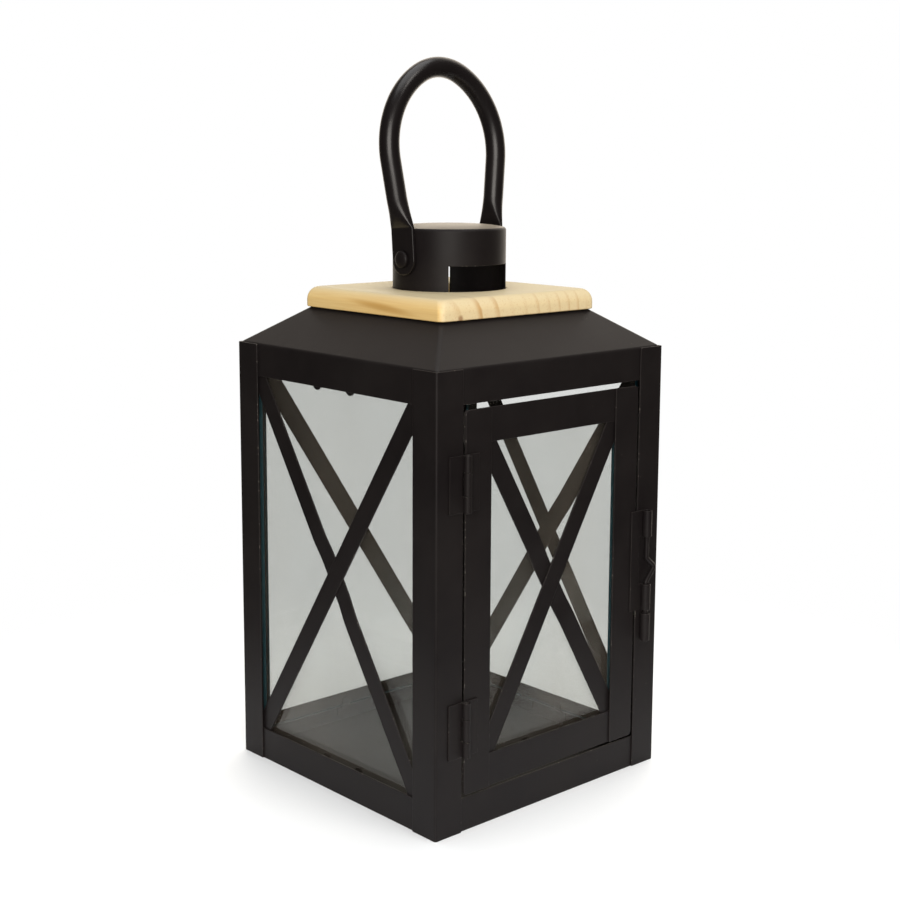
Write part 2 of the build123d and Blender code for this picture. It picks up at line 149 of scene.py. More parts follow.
# %% [markdown]
# ## Black powder coat
# The steel is coated with a satin black polyester powder, baked on. The melted powder leaves a fine orange
# peel, handling leaves broad smudges that change the gloss more than the colour, and a little dust settles.
# On cut edges the coat is thin: it looks greyer there, and bare steel glints in a few specks.
# Inside the tray less powder settles, so its floor is duller. Hands have rubbed the bail glossier, and the
# chimney's top keeps a film of dust that shows at a slant, as a sheen does.
# A painted picture of all this would blur close up, so noise patterns draw it, each at its real size, and
# one function makes the five kinds of coat from their colours and their gloss.
# The real peel is about 1 mm wide and barely shows at this distance, so it is drawn a little coarser.

# %% Powder coat on faces and on edges
PEEL_MM = 1.6
PEEL_DEPTH_MM = 0.06
SMUDGE_MM = 38.0
SMUDGE_ROUGHNESS = 0.62
SMUDGE_IN_COLOUR = (0.32, 0.68)
SMUDGE_IN_GLOSS = (0.3, 0.7)
DUST_CELL_MM = 7.0
DUST_RADIUS_MM = 0.24
DUST_COVER = 0.8
DUSTLESS_CELLS = 0.6
DUST_COLOUR = "#57514a"
SPECK_MM = 1.3
SPECK_SOFTNESS = 0.04
WEAR_IN_STRETCHES = 0.6
STEEL_COLOUR = "#6e6a65"


def scattered_dust(tree, place, cell, radius):
    """Lone grains of dust, sizes in millimetres: a soft dot in some of the cells of a Voronoi pattern."""
    cells = add_node(tree, "ShaderNodeTexVoronoi", {"Vector": place, "Scale": 1 / (cell * MM)})
    edge = radius / cell
    grain = remap(tree, cells.outputs["Distance"], (edge, edge / 2), (0.0, DUST_COVER))
    draw = add_node(tree, "ShaderNodeSeparateColor", {0: cells.outputs["Color"]}).outputs[0]
    chosen = calculate(tree, "GREATER_THAN", draw, DUSTLESS_CELLS)
    return calculate(tree, "MULTIPLY", grain, chosen)


def powder_coat(name, dark, pale, gloss, peel_strength, bare=None, specular=0.13):
    """Satin black powder coat. bare is the wear above which steel shows, or None for a whole coat."""
    finish, tree, shader, place = new_finish(name)
    peel = noise(tree, place, PEEL_MM, 1.0)
    smudge = noise(tree, place, SMUDGE_MM, 5.0, roughness=SMUDGE_ROUGHNESS)
    spread = remap(tree, smudge, SMUDGE_IN_COLOUR, (0.0, 1.0))
    coat = mix_colours(tree, spread, linear(dark), linear(pale))
    dusty = scattered_dust(tree, place, DUST_CELL_MM, DUST_RADIUS_MM)
    colour = mix_colours(tree, dusty, coat, linear(DUST_COLOUR))
    shine = remap(tree, smudge, SMUDGE_IN_GLOSS, gloss)
    bump = add_node(
        tree,
        "ShaderNodeBump",
        {"Strength": peel_strength, "Distance": PEEL_DEPTH_MM * MM, "Height": peel},
    )
    if bare is not None:
        specks = noise(tree, place, SPECK_MM, 2.0)
        wear = calculate(tree, "MULTIPLY_ADD", smudge, WEAR_IN_STRETCHES, specks)
        steel = remap(tree, wear, (bare, bare + SPECK_SOFTNESS), (0.0, 1.0))
        colour = mix_colours(tree, steel, colour, linear(STEEL_COLOUR))
        fill(tree, shader, {"Metallic": steel})
    fill(tree, shader, {"Base Color": colour, "Roughness": shine, "Normal": bump.outputs[0]})
    fill(tree, shader, {"IOR": 1.5, "Specular IOR Level": specular})
    return finish


# %% [markdown]
# These are the five coats, from the plain faces to the dusty top. Sheen stands for the film of dust, because
# loose dust sends back most light where the eye meets the surface at a slant.

# %% The five coats
black_coat = powder_coat("black_powder_coat", "#151213", "#1c1919", (0.41, 0.53), 0.08)
black_edge = powder_coat("black_powder_coat_thin_edge", "#1f1c1c", "#2c2928", (0.36, 0.48), 0.14, bare=0.97)
black_dull = powder_coat("black_powder_coat_dull_inside", "#141211", "#1b1918", (0.56, 0.66), 0.02)
black_rubbed = powder_coat(
    "black_powder_coat_rubbed_bail", "#110e0f", "#171415", (0.27, 0.33), 0.01, specular=0.3
)
black_dusty = powder_coat("black_powder_coat_dusty_top", "#1a1817", "#24211e", (0.40, 0.50), 0.06)
tree = black_dusty.node_tree
film_of_dust = {"Sheen Weight": 0.35, "Sheen Roughness": 0.5, "Sheen Tint": linear("#f3e8d4")}
fill(tree, tree.nodes["Principled BSDF"], film_of_dust)
PAINTED = (black_coat, black_edge)
coats = (*PAINTED, black_dull, black_rubbed, black_dusty)
print("painted finishes:", [finish.name for finish in coats])

# %% [markdown]
# ## Float glass
# The panes are thin float glass, cut and only roughly wiped. From the front the eye sees straight through,
# with a reflection that grows at a slant, and a faint smear dims what lies behind. A Glass shader would bend
# the light truly, but it keeps lamps from lighting the inside without a great many samples. So the face is a
# tinted Transparent shader under a mirror whose share follows the slant, with a little diffuse dust.

# %% Glass on faces
SMEAR_MM = 55.0
SMEAR_STRETCH = (1.0, 1.0, 0.45)
SMEAR_RANGE = (0.35, 0.7)
FILM = (0.010, 0.036)
SPECK_CELL_MM = 12.0
SPECK_RADIUS_MM = 0.3
MIRROR_STRAIGHT_ON = 0.03
SLANT_POWER = 5.0

clear_glass, tree, shader, place = new_finish("float_glass_face")
smear_place = add_node(tree, "ShaderNodeMapping", {"Vector": place, "Scale": SMEAR_STRETCH}).outputs[0]
smear = noise(tree, smear_place, SMEAR_MM, 3.0, distortion=0.6)
film = remap(tree, smear, SMEAR_RANGE, FILM)
specks = scattered_dust(tree, place, SPECK_CELL_MM, SPECK_RADIUS_MM)
dirt = calculate(tree, "MAXIMUM", film, specks)
through = add_node(tree, "ShaderNodeBsdfTransparent", {"Color": linear("#eff0ef")}).outputs[0]
dust = add_node(tree, "ShaderNodeBsdfDiffuse", {"Color": linear("#d6c8b9")}).outputs[0]
veiled = add_node(tree, "ShaderNodeMixShader", {0: dirt, 1: through, 2: dust}).outputs[0]
mirror = add_node(tree, "ShaderNodeBsdfGlossy", {"Color": linear("#f5f8f6"), "Roughness": 0.03}).outputs[0]
slant = add_node(tree, "ShaderNodeLayerWeight", {"Blend": 0.5}).outputs["Facing"]
rise = calculate(tree, "POWER", slant, SLANT_POWER)
mirror_share = calculate(tree, "MULTIPLY_ADD", rise, 1 - MIRROR_STRAIGHT_ON, MIRROR_STRAIGHT_ON)
pane_shader = add_node(tree, "ShaderNodeMixShader", {0: mirror_share, 1: veiled, 2: mirror}).outputs[0]
tree.links.new(pane_shader, tree.nodes["Material Output"].inputs["Surface"])
tree.nodes.remove(shader)
print("glass face:", clear_glass.name, "nodes:", len(tree.nodes))

# %% [markdown]
# A cut edge is looked at along the sheet, through so much glass that its iron shows as a dark teal. Real
# depth would need the Glass shader again, so the edge is an opaque teal, a little chipped in its gloss.

# %% Glass on cut edges
CHIP_MM = 9.0
CHIP_RANGE = (0.3, 0.7)
CUT_GLOSS = (0.3, 0.4)

glass_edge, tree, shader, place = new_finish("float_glass_cut_edge")
chips = noise(tree, place, CHIP_MM, 2.0)
edge_colour = mix_colours(tree, chips, linear("#082f38"), linear("#0c3941"))
edge_gloss = remap(tree, chips, CHIP_RANGE, CUT_GLOSS)
fill(tree, shader, {"Base Color": edge_colour, "Roughness": edge_gloss})
fill(tree, shader, {"IOR": 1.52, "Specular IOR Level": 0.25})
print("glass edge:", glass_edge.name)

# %% [markdown]
# ## Sanded pine
# The board is planed and sanded pine, left without a coat. Its fibres run front to back, so the front and
# back faces show end grain and the other faces long grain. Growth rings are circles about the pith, which
# lay to the left of this board and a little below it: they stand nearly upright on the end grain, lean over
# near the left corner, and crowd together on the right, where the tree grew more slowly. Each ring goes from
# pale early wood to a narrow band of darker late wood.
# A Wave texture would draw rings with one node, but all alike. Here the distance from the pith is counted in
# years, so that each year has its own width and strength.

# %% Pine: growth rings
PITH_X_MM = -78.0
PITH_Z_MM = 221.0
RINGS_PER_MM = 0.0151
CROWDING_PER_MM2 = 0.00062
WANDER_MM = 2.6
WANDER_LENGTH_MM = 60.0
WANDER_ALONG_MM = 160.0
RAGGED_MM = 0.5
RAGGED_LENGTH_MM = 5.0
LATE_WOOD_STARTS = 0.60
LATE_WOOD_PEAKS = 0.93
LATE_WOOD_COVER = 0.8
WEAKEST_YEAR = 0.25
BLUSH_MM = 30.0
BLUSH_RANGE = (0.36, 0.6)
WEAKEST_BLUSH = 0.2

pine, tree, shader, place = new_finish("sanded_pine")
stretch = (1.0, WANDER_LENGTH_MM / WANDER_ALONG_MM, 1.0)
wander_place = add_node(tree, "ShaderNodeMapping", {"Vector": place, "Scale": stretch}).outputs[0]
wander = noise(tree, wander_place, WANDER_LENGTH_MM, 3.0)
from_pith = add_node(
    tree,
    "ShaderNodeVectorMath",
    {0: place, 1: (PITH_X_MM * MM, 0.0, PITH_Z_MM * MM)},
    operation="SUBTRACT",
).outputs[0]
across_fibres = add_node(
    tree,
    "ShaderNodeVectorMath",
    {0: from_pith, 1: (1.0, 0.0, 1.0)},
    operation="MULTIPLY",
).outputs[0]
distance = add_node(tree, "ShaderNodeVectorMath", {0: across_fibres}, operation="LENGTH").outputs["Value"]
ragged = noise(tree, wander_place, RAGGED_LENGTH_MM, 2.0)
even_mm = calculate(tree, "MULTIPLY", distance, 1 / MM)
in_mm = calculate(tree, "MULTIPLY_ADD", ragged, 2 * RAGGED_MM, even_mm)
shifted = calculate(tree, "MULTIPLY_ADD", wander, 2 * WANDER_MM, in_mm)
crowd = calculate(tree, "MULTIPLY_ADD", shifted, CROWDING_PER_MM2, RINGS_PER_MM)
rings = calculate(tree, "MULTIPLY", crowd, shifted)
season = calculate(tree, "FRACT", rings)
late_rise = remap(tree, season, (LATE_WOOD_STARTS, LATE_WOOD_PEAKS), (0.0, LATE_WOOD_COVER), "SMOOTHSTEP")
late_end = remap(tree, season, (LATE_WOOD_PEAKS, 1.0), (1.0, 0.0))
late = calculate(tree, "MULTIPLY", late_rise, late_end)
year = calculate(tree, "FLOOR", rings)
vigour = add_node(tree, "ShaderNodeTexWhiteNoise", {"W": year}, noise_dimensions="1D").outputs["Value"]
yearly = remap(tree, vigour, (0.0, 1.0), (WEAKEST_YEAR, 1.0))
late_yearly = calculate(tree, "MULTIPLY", late, yearly)
blush = noise(tree, wander_place, BLUSH_MM, 2.0)
uneven = remap(tree, blush, BLUSH_RANGE, (WEAKEST_BLUSH, 1.0))
late_here = calculate(tree, "MULTIPLY", late_yearly, uneven)
print("growth rings:", len(tree.nodes), "nodes")

# %% [markdown]
# Fibres are a noise drawn out along the board. On its left side a saw has run along one ring, which leaves a
# long, darker flame there, and a resin spot sits low on the front left corner. Both are soft ellipsoids, set
# down at their places.

# %% Pine: fibres, flame and resin
FIBRE_MM = 0.7
FIBRE_LENGTH_MM = 22.0
STREAK_RANGE = (0.3, 0.75)
STREAK_COVER = 0.3
FLAME_MM = (-51.0, -9.0, 236.8)
FLAME_HALF_MM = (6.0, 33.0, 2.6)
FLAME_TILT = math.radians(4.8)
FLAME_CORE = 0.2
FLAME_COVER = 0.6
RESIN_SPOT_MM = (-39.0, -51.0, 234.0)
RESIN_RADIUS_MM = 2.1
RESIN_CORE = 0.3
RESIN_COVER = 0.6

fibre_stretch = (1.0, FIBRE_MM / FIBRE_LENGTH_MM, 1.0)
fibre_place = add_node(tree, "ShaderNodeMapping", {"Vector": place, "Scale": fibre_stretch}).outputs[0]
fibre = noise(tree, fibre_place, FIBRE_MM, 2.0)
streak = remap(tree, fibre, STREAK_RANGE, (0.0, STREAK_COVER))
flame_place = add_node(
    tree,
    "ShaderNodeMapping",
    {
        "Vector": place,
        "Location": [size * MM for size in FLAME_MM],
        "Rotation": (FLAME_TILT, 0.0, 0.0),
        "Scale": [size * MM for size in FLAME_HALF_MM],
    },
    vector_type="TEXTURE",
).outputs[0]
flame_distance = add_node(tree, "ShaderNodeVectorMath", {0: flame_place}, operation="LENGTH").outputs["Value"]
flame = remap(tree, flame_distance, (1.0, FLAME_CORE), (0.0, FLAME_COVER), "SMOOTHSTEP")
resin_distance = add_node(
    tree,
    "ShaderNodeVectorMath",
    {0: place, 1: Vector(RESIN_SPOT_MM) * MM},
    operation="DISTANCE",
).outputs["Value"]
resin_edge = RESIN_RADIUS_MM * MM
resin = remap(tree, resin_distance, (resin_edge, resin_edge * RESIN_CORE), (0.0, RESIN_COVER), "SMOOTHSTEP")
print("fibres, flame and resin:", len(tree.nodes), "nodes")

# %% [markdown]
# What a face shows depends on the way it looks. End grain, at the front and back, is paler and has open
# pores. The top and the upper rounding get a painted sheen: a grey laid into the wood's colour, standing for
# the bright room mirrored at a slant. So the direction of the face, in the board's own axes, says how much
# of each it gets, and all the layers are then laid over the plain wood one by one.

# %% Pine: faces and layers
END_GRAIN_RANGE = (0.4, 0.9)
END_GRAIN_COVER = 0.7
PORE_RANGE = (0.58, 0.72)
PORE_COVER = 0.4
# How far faces that look up are greyed by the painted sheen, a painted reflection of the bright room.
PAINTED_SHEEN_RANGE = (0.15, 1.0)
PAINTED_SHEEN_COVER = 0.74
EARLY_WOOD_ROUGHNESS = 0.66
LATE_WOOD_ROUGHNESS = 0.54
FIBRE_DEPTH_MM = 0.12

facing = add_node(tree, "ShaderNodeTexCoord").outputs["Normal"]
facing_axes = add_node(tree, "ShaderNodeSeparateXYZ", {0: facing})
end_on = calculate(tree, "ABSOLUTE", facing_axes.outputs["Y"])
end_grain = remap(tree, end_on, END_GRAIN_RANGE, (0.0, END_GRAIN_COVER))
pores = remap(tree, fibre, PORE_RANGE, (0.0, PORE_COVER))
end_pores = calculate(tree, "MULTIPLY", pores, end_on)
# Painted sheen: the more a face looks up, the more its colour is greyed, as a slanting reflection would.
painted_top_sheen = remap(tree, facing_axes.outputs["Z"], PAINTED_SHEEN_RANGE, (0.0, PAINTED_SHEEN_COVER))
wood_colour = mix_colours(tree, blush, linear("#efd698"), linear("#e4bd77"))
layers = (
    (streak, "#d0a15c"),
    (flame, "#b98a3e"),
    (end_grain, "#e3d6b2"),
    (end_pores, "#c9a063"),
    (late_here, "#c0904f"),
    # the grey of the painted sheen on the top and the upper rounding
    (painted_top_sheen, "#a9a692"),
    (resin, "#7c4420"),
)
for cover, shade in layers:
    wood_colour = mix_colours(tree, cover, wood_colour, linear(shade))
pine_gloss = remap(tree, late, (0.0, 1.0), (EARLY_WOOD_ROUGHNESS, LATE_WOOD_ROUGHNESS))
pine_bump_inputs = {"Strength": 0.25, "Distance": FIBRE_DEPTH_MM * MM, "Height": fibre}
pine_bump = add_node(tree, "ShaderNodeBump", pine_bump_inputs).outputs[0]
fill(tree, shader, {"Base Color": wood_colour, "Roughness": pine_gloss, "Normal": pine_bump})
fill(tree, shader, {"IOR": 1.5, "Specular IOR Level": 0.3})
print("wood:", pine.name, "layers:", len(layers), "nodes:", len(tree.nodes))

# %% [markdown]
# ## Zinc plate
# The wood screws under the roof are zinc-plated steel, passivated to a cool grey with cloudy patches. One
# even grey would look like plastic on the round heads, so a small noise changes both colour and gloss.

# %% Zinc-plated steel
CLOUD_MM = 1.8
CLOUD_RANGE = (0.3, 0.7)
ZINC_GLOSS = (0.28, 0.46)

zinc, tree, shader, place = new_finish("zinc_plated_steel")
cloud = noise(tree, place, CLOUD_MM, 3.0)
zinc_colour = mix_colours(tree, cloud, linear("#a7aaab"), linear("#c9c6bd"))
zinc_gloss = remap(tree, cloud, CLOUD_RANGE, ZINC_GLOSS)
fill(tree, shader, {"Base Color": zinc_colour, "Roughness": zinc_gloss, "Metallic": 1.0})
print("screws:", zinc.name)

# %% [markdown]
# ## From a working shape to a finished piece
# A piece starts as a working object in millimetres. Modifiers finish it: Solidify gives sheet its thickness,
# Bevel eases the edges, and Weighted Normal keeps flat faces flat beside the eased ones. Then the evaluated
# result becomes a plain mesh in metres at the origin, which rides on its CAD body and stands for CAD nodes.

# %% Helpers for pieces
WELD_MM = 0.0005
BEVEL_ANGLE = math.radians(38)


def working_object(name, form, finishes):
    """A working object from a bmesh in millimetres, welded, facing outwards and shaded smooth."""
    bmesh.ops.remove_doubles(form, verts=form.verts, dist=WELD_MM)
    bmesh.ops.recalc_face_normals(form, faces=form.faces)
    for face in form.faces:
        face.smooth = True
    mesh = bpy.data.meshes.new(name)
    form.to_mesh(mesh)
    form.free()
    for finish in finishes:
        mesh.materials.append(finish)
    working = bpy.data.objects.new(name, mesh)
    bpy.context.scene.collection.objects.link(working)
    return working


def ease_edges(working, width, segments=2):
    """Round off the hard edges. The rounding takes the second finish where there is one."""
    bevel = working.modifiers.new("eased edges", "BEVEL")
    bevel.width = width
    bevel.segments = segments
    bevel.limit_method = "ANGLE"
    bevel.angle_limit = BEVEL_ANGLE
    bevel.material = 1 if len(working.data.materials) > 1 else -1
    flat_faces = working.modifiers.new("flat faces", "WEIGHTED_NORMAL")
    flat_faces.keep_sharp = True


def thicken(working, thickness):
    """Give a drawn sheet its thickness, on its inner side."""
    wall = working.modifiers.new("sheet", "SOLIDIFY")
    wall.thickness = thickness
    wall.offset = -1.0
    wall.use_even_offset = True


def use_tree(working, tree, values):
    """Add a Geometry Nodes modifier and set its inputs, which are found by name, by identifier."""
    modifier = working.modifiers.new(tree.name, "NODES")
    modifier.node_group = tree
    for item in tree.interface.items_tree:
        if item.in_out == "INPUT" and item.name in values:
            modifier[item.identifier] = values[item.name]


def plain_mesh(working):
    """Replace a working object by a plain mesh object of the same name, in metres."""
    name = working.name
    depsgraph = bpy.context.evaluated_depsgraph_get()
    evaluated = working.evaluated_get(depsgraph)
    mesh = bpy.data.meshes.new_from_object(evaluated, preserve_all_data_layers=True, depsgraph=depsgraph)
    mesh.transform(Matrix.Scale(MM, 4))
    drawn = working.data
    bpy.data.objects.remove(working)
    bpy.data.meshes.remove(drawn)
    mesh.name = name
    piece = bpy.data.objects.new(name, mesh)
    bpy.context.scene.collection.objects.link(piece)
    return piece


def fit(piece, body, nodes):
    """Hang a finished piece on its body, in place of the CAD nodes that it stands for."""
    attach(piece, body)
    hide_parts(*nodes)
    print(piece.name, "on", body, "faces:", len(piece.data.polygons), "for", len(nodes), "CAD nodes")


# %% [markdown]
# ## Trees that repeat a shape
# Most of the lantern is one shape set down several times: four posts, three glazed walls, four screws, two
# rivets, two hinges. Copies could be pasted in a loop, but a Geometry Nodes tree states the rule once.
# The first tree turns copies about the lantern's upright axis, the second sets them down in even steps.


# %% Trees for copies
def new_tree(name, inputs):
    """A Geometry Nodes tree with named inputs. Gives the tree and its input sockets."""
    tree = bpy.data.node_groups.new(name, "GeometryNodeTree")
    tree.interface.new_socket("Geometry", in_out="INPUT", socket_type="NodeSocketGeometry")
    for label, kind in inputs.items():
        tree.interface.new_socket(label, in_out="INPUT", socket_type="NodeSocket" + kind)
    tree.interface.new_socket("Geometry", in_out="OUTPUT", socket_type="NodeSocketGeometry")
    return tree, tree.nodes.new("NodeGroupInput").outputs


def close_tree(tree, geometry, finish):
    """End a tree: real geometry instead of instances, one finish, and out."""
    real = add_node(tree, "GeometryNodeRealizeInstances", {"Geometry": geometry}).outputs[0]
    dressed = add_node(tree, "GeometryNodeSetMaterial", {"Geometry": real, "Material": finish}).outputs[0]
    add_node(tree, "NodeGroupOutput", {"Geometry": dressed})
    return tree


turned_copies, given = new_tree(
    "turned_copies",
    {"Copies": "Int", "First Turn": "Float", "Turn Step": "Float", "Finish": "Material"},
)
points = add_node(
    turned_copies,
    "GeometryNodeMeshLine",
    {"Count": given["Copies"], "Offset": (0.0, 0.0, 0.0)},
).outputs[0]
number = add_node(turned_copies, "GeometryNodeInputIndex").outputs[0]
turn = calculate(turned_copies, "MULTIPLY_ADD", number, given["Turn Step"], given["First Turn"])
euler = add_node(turned_copies, "ShaderNodeCombineXYZ", {"Z": turn}).outputs[0]
rotation = add_node(turned_copies, "FunctionNodeEulerToRotation", {"Euler": euler}).outputs[0]
copies = add_node(
    turned_copies,
    "GeometryNodeInstanceOnPoints",
    {"Points": points, "Instance": given["Geometry"], "Rotation": rotation},
).outputs[0]
close_tree(turned_copies, copies, given["Finish"])

stepped_copies, given = new_tree("stepped_copies", {"Copies": "Int", "Step": "Vector", "Finish": "Material"})
points = add_node(
    stepped_copies,
    "GeometryNodeMeshLine",
    {"Count": given["Copies"], "Offset": given["Step"]},
).outputs[0]
copies = add_node(
    stepped_copies,
    "GeometryNodeInstanceOnPoints",
    {"Points": points, "Instance": given["Geometry"]},
).outputs[0]
close_tree(stepped_copies, copies, given["Finish"])

OTHER_WALLS = {"Copies": 3, "First Turn": -QUARTER, "Turn Step": -QUARTER}
FRONT_WALL = {"Copies": 1, "First Turn": 0.0, "Turn Step": 0.0}
print("trees:", turned_copies.name, stepped_copies.name)

# %% [markdown]
# ## Corner posts
# Each post is a strip folded to an angle, with a tight bend on the corner. Two plates set at a right angle
# would meet in a sharp line there. So an outline with its bend is drawn once in the front left corner,
# pulled up to the roof, and turned into the other three corners by the tree.

# %% Corner posts
BEND_RADIUS = 1.2
ARC_STEPS = 8


def arc(centre, radius, start, end, steps=ARC_STEPS):
    """Points on an arc, angles in degrees, both ends included."""
    turns = [math.radians(start + (end - start) * step / steps) for step in range(steps + 1)]
    return [(centre[0] + radius * math.cos(t), centre[1] + radius * math.sin(t)) for t in turns]


def prism(outline, low, high, place):
    """A bmesh of an outline pulled from low to high. place puts (a, b, level) in the lantern's axes."""
    form = bmesh.new()
    rings = [[form.verts.new(place(a, b, level)) for a, b in outline] for level in (low, high)]
    for ring in rings:
        form.faces.new(ring)
    for index in range(len(outline)):
        following = (index + 1) % len(outline)
        corners = (rings[0][index], rings[0][following], rings[1][following], rings[1][index])
        form.faces.new(corners)
    return form


def upright(a, b, level):
    """For an outline that lies flat and is pulled upwards."""
    return (a, b, level)


def facing_front(a, b, level):
    """For an outline that faces the front and is pulled backwards."""
    return (a, level, b)


def facing_side(a, b, level):
    """For an outline that faces a side and is pulled from left to right."""
    return (level, a, b)


bend_centre = (-SIDE_HALF + BEND_RADIUS, -SIDE_HALF + BEND_RADIUS)
post_outline = [
    (-OPENING_HALF, -SIDE_HALF),
    (-OPENING_HALF, -SIDE_HALF + SHEET),
    *arc(bend_centre, BEND_RADIUS - SHEET, 270, 180),
    (-SIDE_HALF + SHEET, -OPENING_HALF),
    (-SIDE_HALF, -OPENING_HALF),
    *arc(bend_centre, BEND_RADIUS, 180, 270),
]
posts = working_object("corner_posts", prism(post_outline, 0.0, BODY_HEIGHT, upright), PAINTED)
use_tree(posts, turned_copies, {"Copies": 4, "First Turn": 0.0, "Turn Step": QUARTER, "Finish": black_coat})
ease_edges(posts, EDGE_EASE)
POST_NODES = ("front_left_post", "front_right_post", "back_left_post", "back_right_post")
fit(plain_mesh(posts), "frame", POST_NODES)

# %% [markdown]
# ## Tray and roof
# Each is folded from one sheet. A cross-section line gives the half width at each height, and a square
# ring with rounded corners is laid at each of its points. The roof's line is rounded at its folds, and a
# bevel eases the tray's. Bridging the rings makes the outer skin, and Solidify adds the sheet's thickness
# inside. A scaled cube would be quicker, but its corners and folds would be sharp, and a fold never is.

# %% Helpers for rings
RING_SIDE_POINTS = 9


def rounded_line(corners, steps=ARC_STEPS):
    """Points along straight runs through (a, b, radius), with each inner corner rounded to its radius."""
    points = [corners[0][:2]]
    for before, corner, after in zip(corners, corners[1:], corners[2:]):
        here = Vector(corner[:2])
        back = (Vector(before[:2]) - here).normalized()
        ahead = (Vector(after[:2]) - here).normalized()
        half_angle = back.angle(ahead) / 2
        middle = here + (back + ahead).normalized() * (corner[2] / math.sin(half_angle))
        start = here + back * (corner[2] / math.tan(half_angle)) - middle
        sweep = math.pi - 2 * half_angle
        turn = math.copysign(sweep, start.x * ahead.y - start.y * ahead.x)
        for step in range(steps + 1):
            spoke = Matrix.Rotation(turn * step / steps, 2) @ start
            points.append(tuple(middle + spoke))
    points.append(corners[-1][:2])
    return points


def square_ring(half, corner_radius, steps=ARC_STEPS):
    """A square with rounded corners as points, the sides divided evenly, going round anticlockwise."""
    ring = []
    for quarter, (x, y) in enumerate(((1, 1), (-1, 1), (-1, -1), (1, -1))):
        middle = (x * (half - corner_radius), y * (half - corner_radius))
        bend = arc(middle, corner_radius, 90 * quarter, 90 * quarter + 90, steps)
        ring += bend
        turned = Matrix.Rotation(QUARTER, 2)
        run_end = turned @ Vector(bend[0])
        run_start = Vector(bend[-1])
        for step in range(1, RING_SIDE_POINTS + 1):
            ring.append(tuple(run_start.lerp(run_end, step / (RING_SIDE_POINTS + 1))))
    return ring


def round_ring(radius, like):
    """A circle whose points stand at the same bearings as those of another ring."""
    return [tuple(Vector(point).normalized() * radius) for point in like]


def bridge(form, rings):
    """Join rings of (points, height) by strips of faces. Gives their vertices, ring by ring."""
    loops = [[form.verts.new((x, y, z)) for x, y in ring] for ring, z in rings]
    for lower, upper in zip(loops, loops[1:]):
        for index in range(len(lower)):
            following = (index + 1) % len(lower)
            form.faces.new((lower[index], lower[following], upper[following], upper[index]))
    return loops


# %% [markdown]
# The tray is a shallow pan that stands inside the posts. Its floor, which less powder reaches, gets the
# duller coat.

# %% Tray
SKIN_HALF = SIDE_HALF - SHEET
TRAY_FLOOR_START = 60.0
FACES_UP = 0.9

tray_line = [(TRAY_FLOOR_START, 0.0), (SKIN_HALF, 0.0), (SKIN_HALF, TRAY_TOP)]
tray_form = bmesh.new()
tray_loops = bridge(tray_form, [(square_ring(half, BEND_RADIUS), z) for half, z in tray_line])
tray_form.faces.new(tray_loops[0])
tray = working_object("base_tray_folded", tray_form, PAINTED)
thicken(tray, SHEET)
ease_edges(tray, EDGE_EASE)
tray_piece = plain_mesh(tray)
tray_piece.data.materials.append(black_dull)
for face in tray_piece.data.polygons:
    if face.normal.z > FACES_UP and face.center.z < 2 * SHEET * MM:
        face.material_index = len(tray_piece.data.materials) - 1
fit(tray_piece, "frame", ("base_tray",))

# %% [markdown]
# The roof goes from a square skirt over the hips to a flat panel. The panel's last ring is round, since the
# chimney stands in a round hole.

# %% Roof
ROOF_BEND = 2.0
ROOF_TOP_HALF = 49.0
ROOF_HOLE = 28.2
HOLE_MARGIN = 16.0

roof_line = rounded_line(
    [
        (SKIN_HALF, SKIRT_EDGE),
        (SKIN_HALF, BODY_HEIGHT, ROOF_BEND),
        (ROOF_TOP_HALF, ROOF_TOP, ROOF_BEND),
        (ROOF_HOLE + HOLE_MARGIN, ROOF_TOP),
    ],
)
roof_rings = [(square_ring(half, ROOF_BEND), z) for half, z in roof_line]
roof_rings.append((round_ring(ROOF_HOLE, roof_rings[-1][0]), ROOF_TOP))
roof_form = bmesh.new()
bridge(roof_form, roof_rings)
roof = working_object("hipped_roof", roof_form, PAINTED)
thicken(roof, SHEET)
ease_edges(roof, EDGE_EASE)
fit(plain_mesh(roof), "frame", ("roof",))

# %% [markdown]
# ## Crossed bars
# Each wall has two flat strips from corner to corner. One is straight, and the other is pressed back by one
# sheet where it passes behind the first. That set-back is a rule along the strip, so the tree reads how far a
# point is from the crossing, pushes it back, and tilts the two strips opposite ways.

# %% The crossed bars' tree
crossed_bars, given = new_tree(
    "crossed_bars",
    {
        "Tilt": "Float",
        "Crossing": "Float",
        "Ramp": "Float",
        "Set Back": "Float",
        "Centre": "Vector",
        "Finish": "Material",
    },
)
where = add_node(crossed_bars, "GeometryNodeInputPosition").outputs[0]
along = add_node(crossed_bars, "ShaderNodeSeparateXYZ", {0: where}).outputs["X"]
away = calculate(crossed_bars, "ABSOLUTE", along)
ramp_end = calculate(crossed_bars, "ADD", given["Crossing"], given["Ramp"])
pressed = remap(crossed_bars, away, (ramp_end, given["Crossing"]), (0.0, given["Set Back"]), "SMOOTHSTEP")
push = add_node(crossed_bars, "ShaderNodeCombineXYZ", {"Y": pressed}).outputs[0]
joggled = add_node(
    crossed_bars,
    "GeometryNodeSetPosition",
    {"Geometry": given["Geometry"], "Offset": push},
).outputs[0]
up_left = add_node(crossed_bars, "ShaderNodeCombineXYZ", {"Y": given["Tilt"]}).outputs[0]
up_right = add_node(crossed_bars, "ShaderNodeVectorMath", {0: up_left, 3: -1.0}, operation="SCALE").outputs[0]
strips = add_node(crossed_bars, "GeometryNodeJoinGeometry")
for geometry, tilt in ((given["Geometry"], up_right), (joggled, up_left)):
    set_down = add_node(
        crossed_bars,
        "GeometryNodeTransform",
        {"Geometry": geometry, "Translation": given["Centre"], "Rotation": tilt},
    ).outputs[0]
    crossed_bars.links.new(set_down, strips.inputs[0])
close_tree(crossed_bars, strips.outputs[0], given["Finish"])
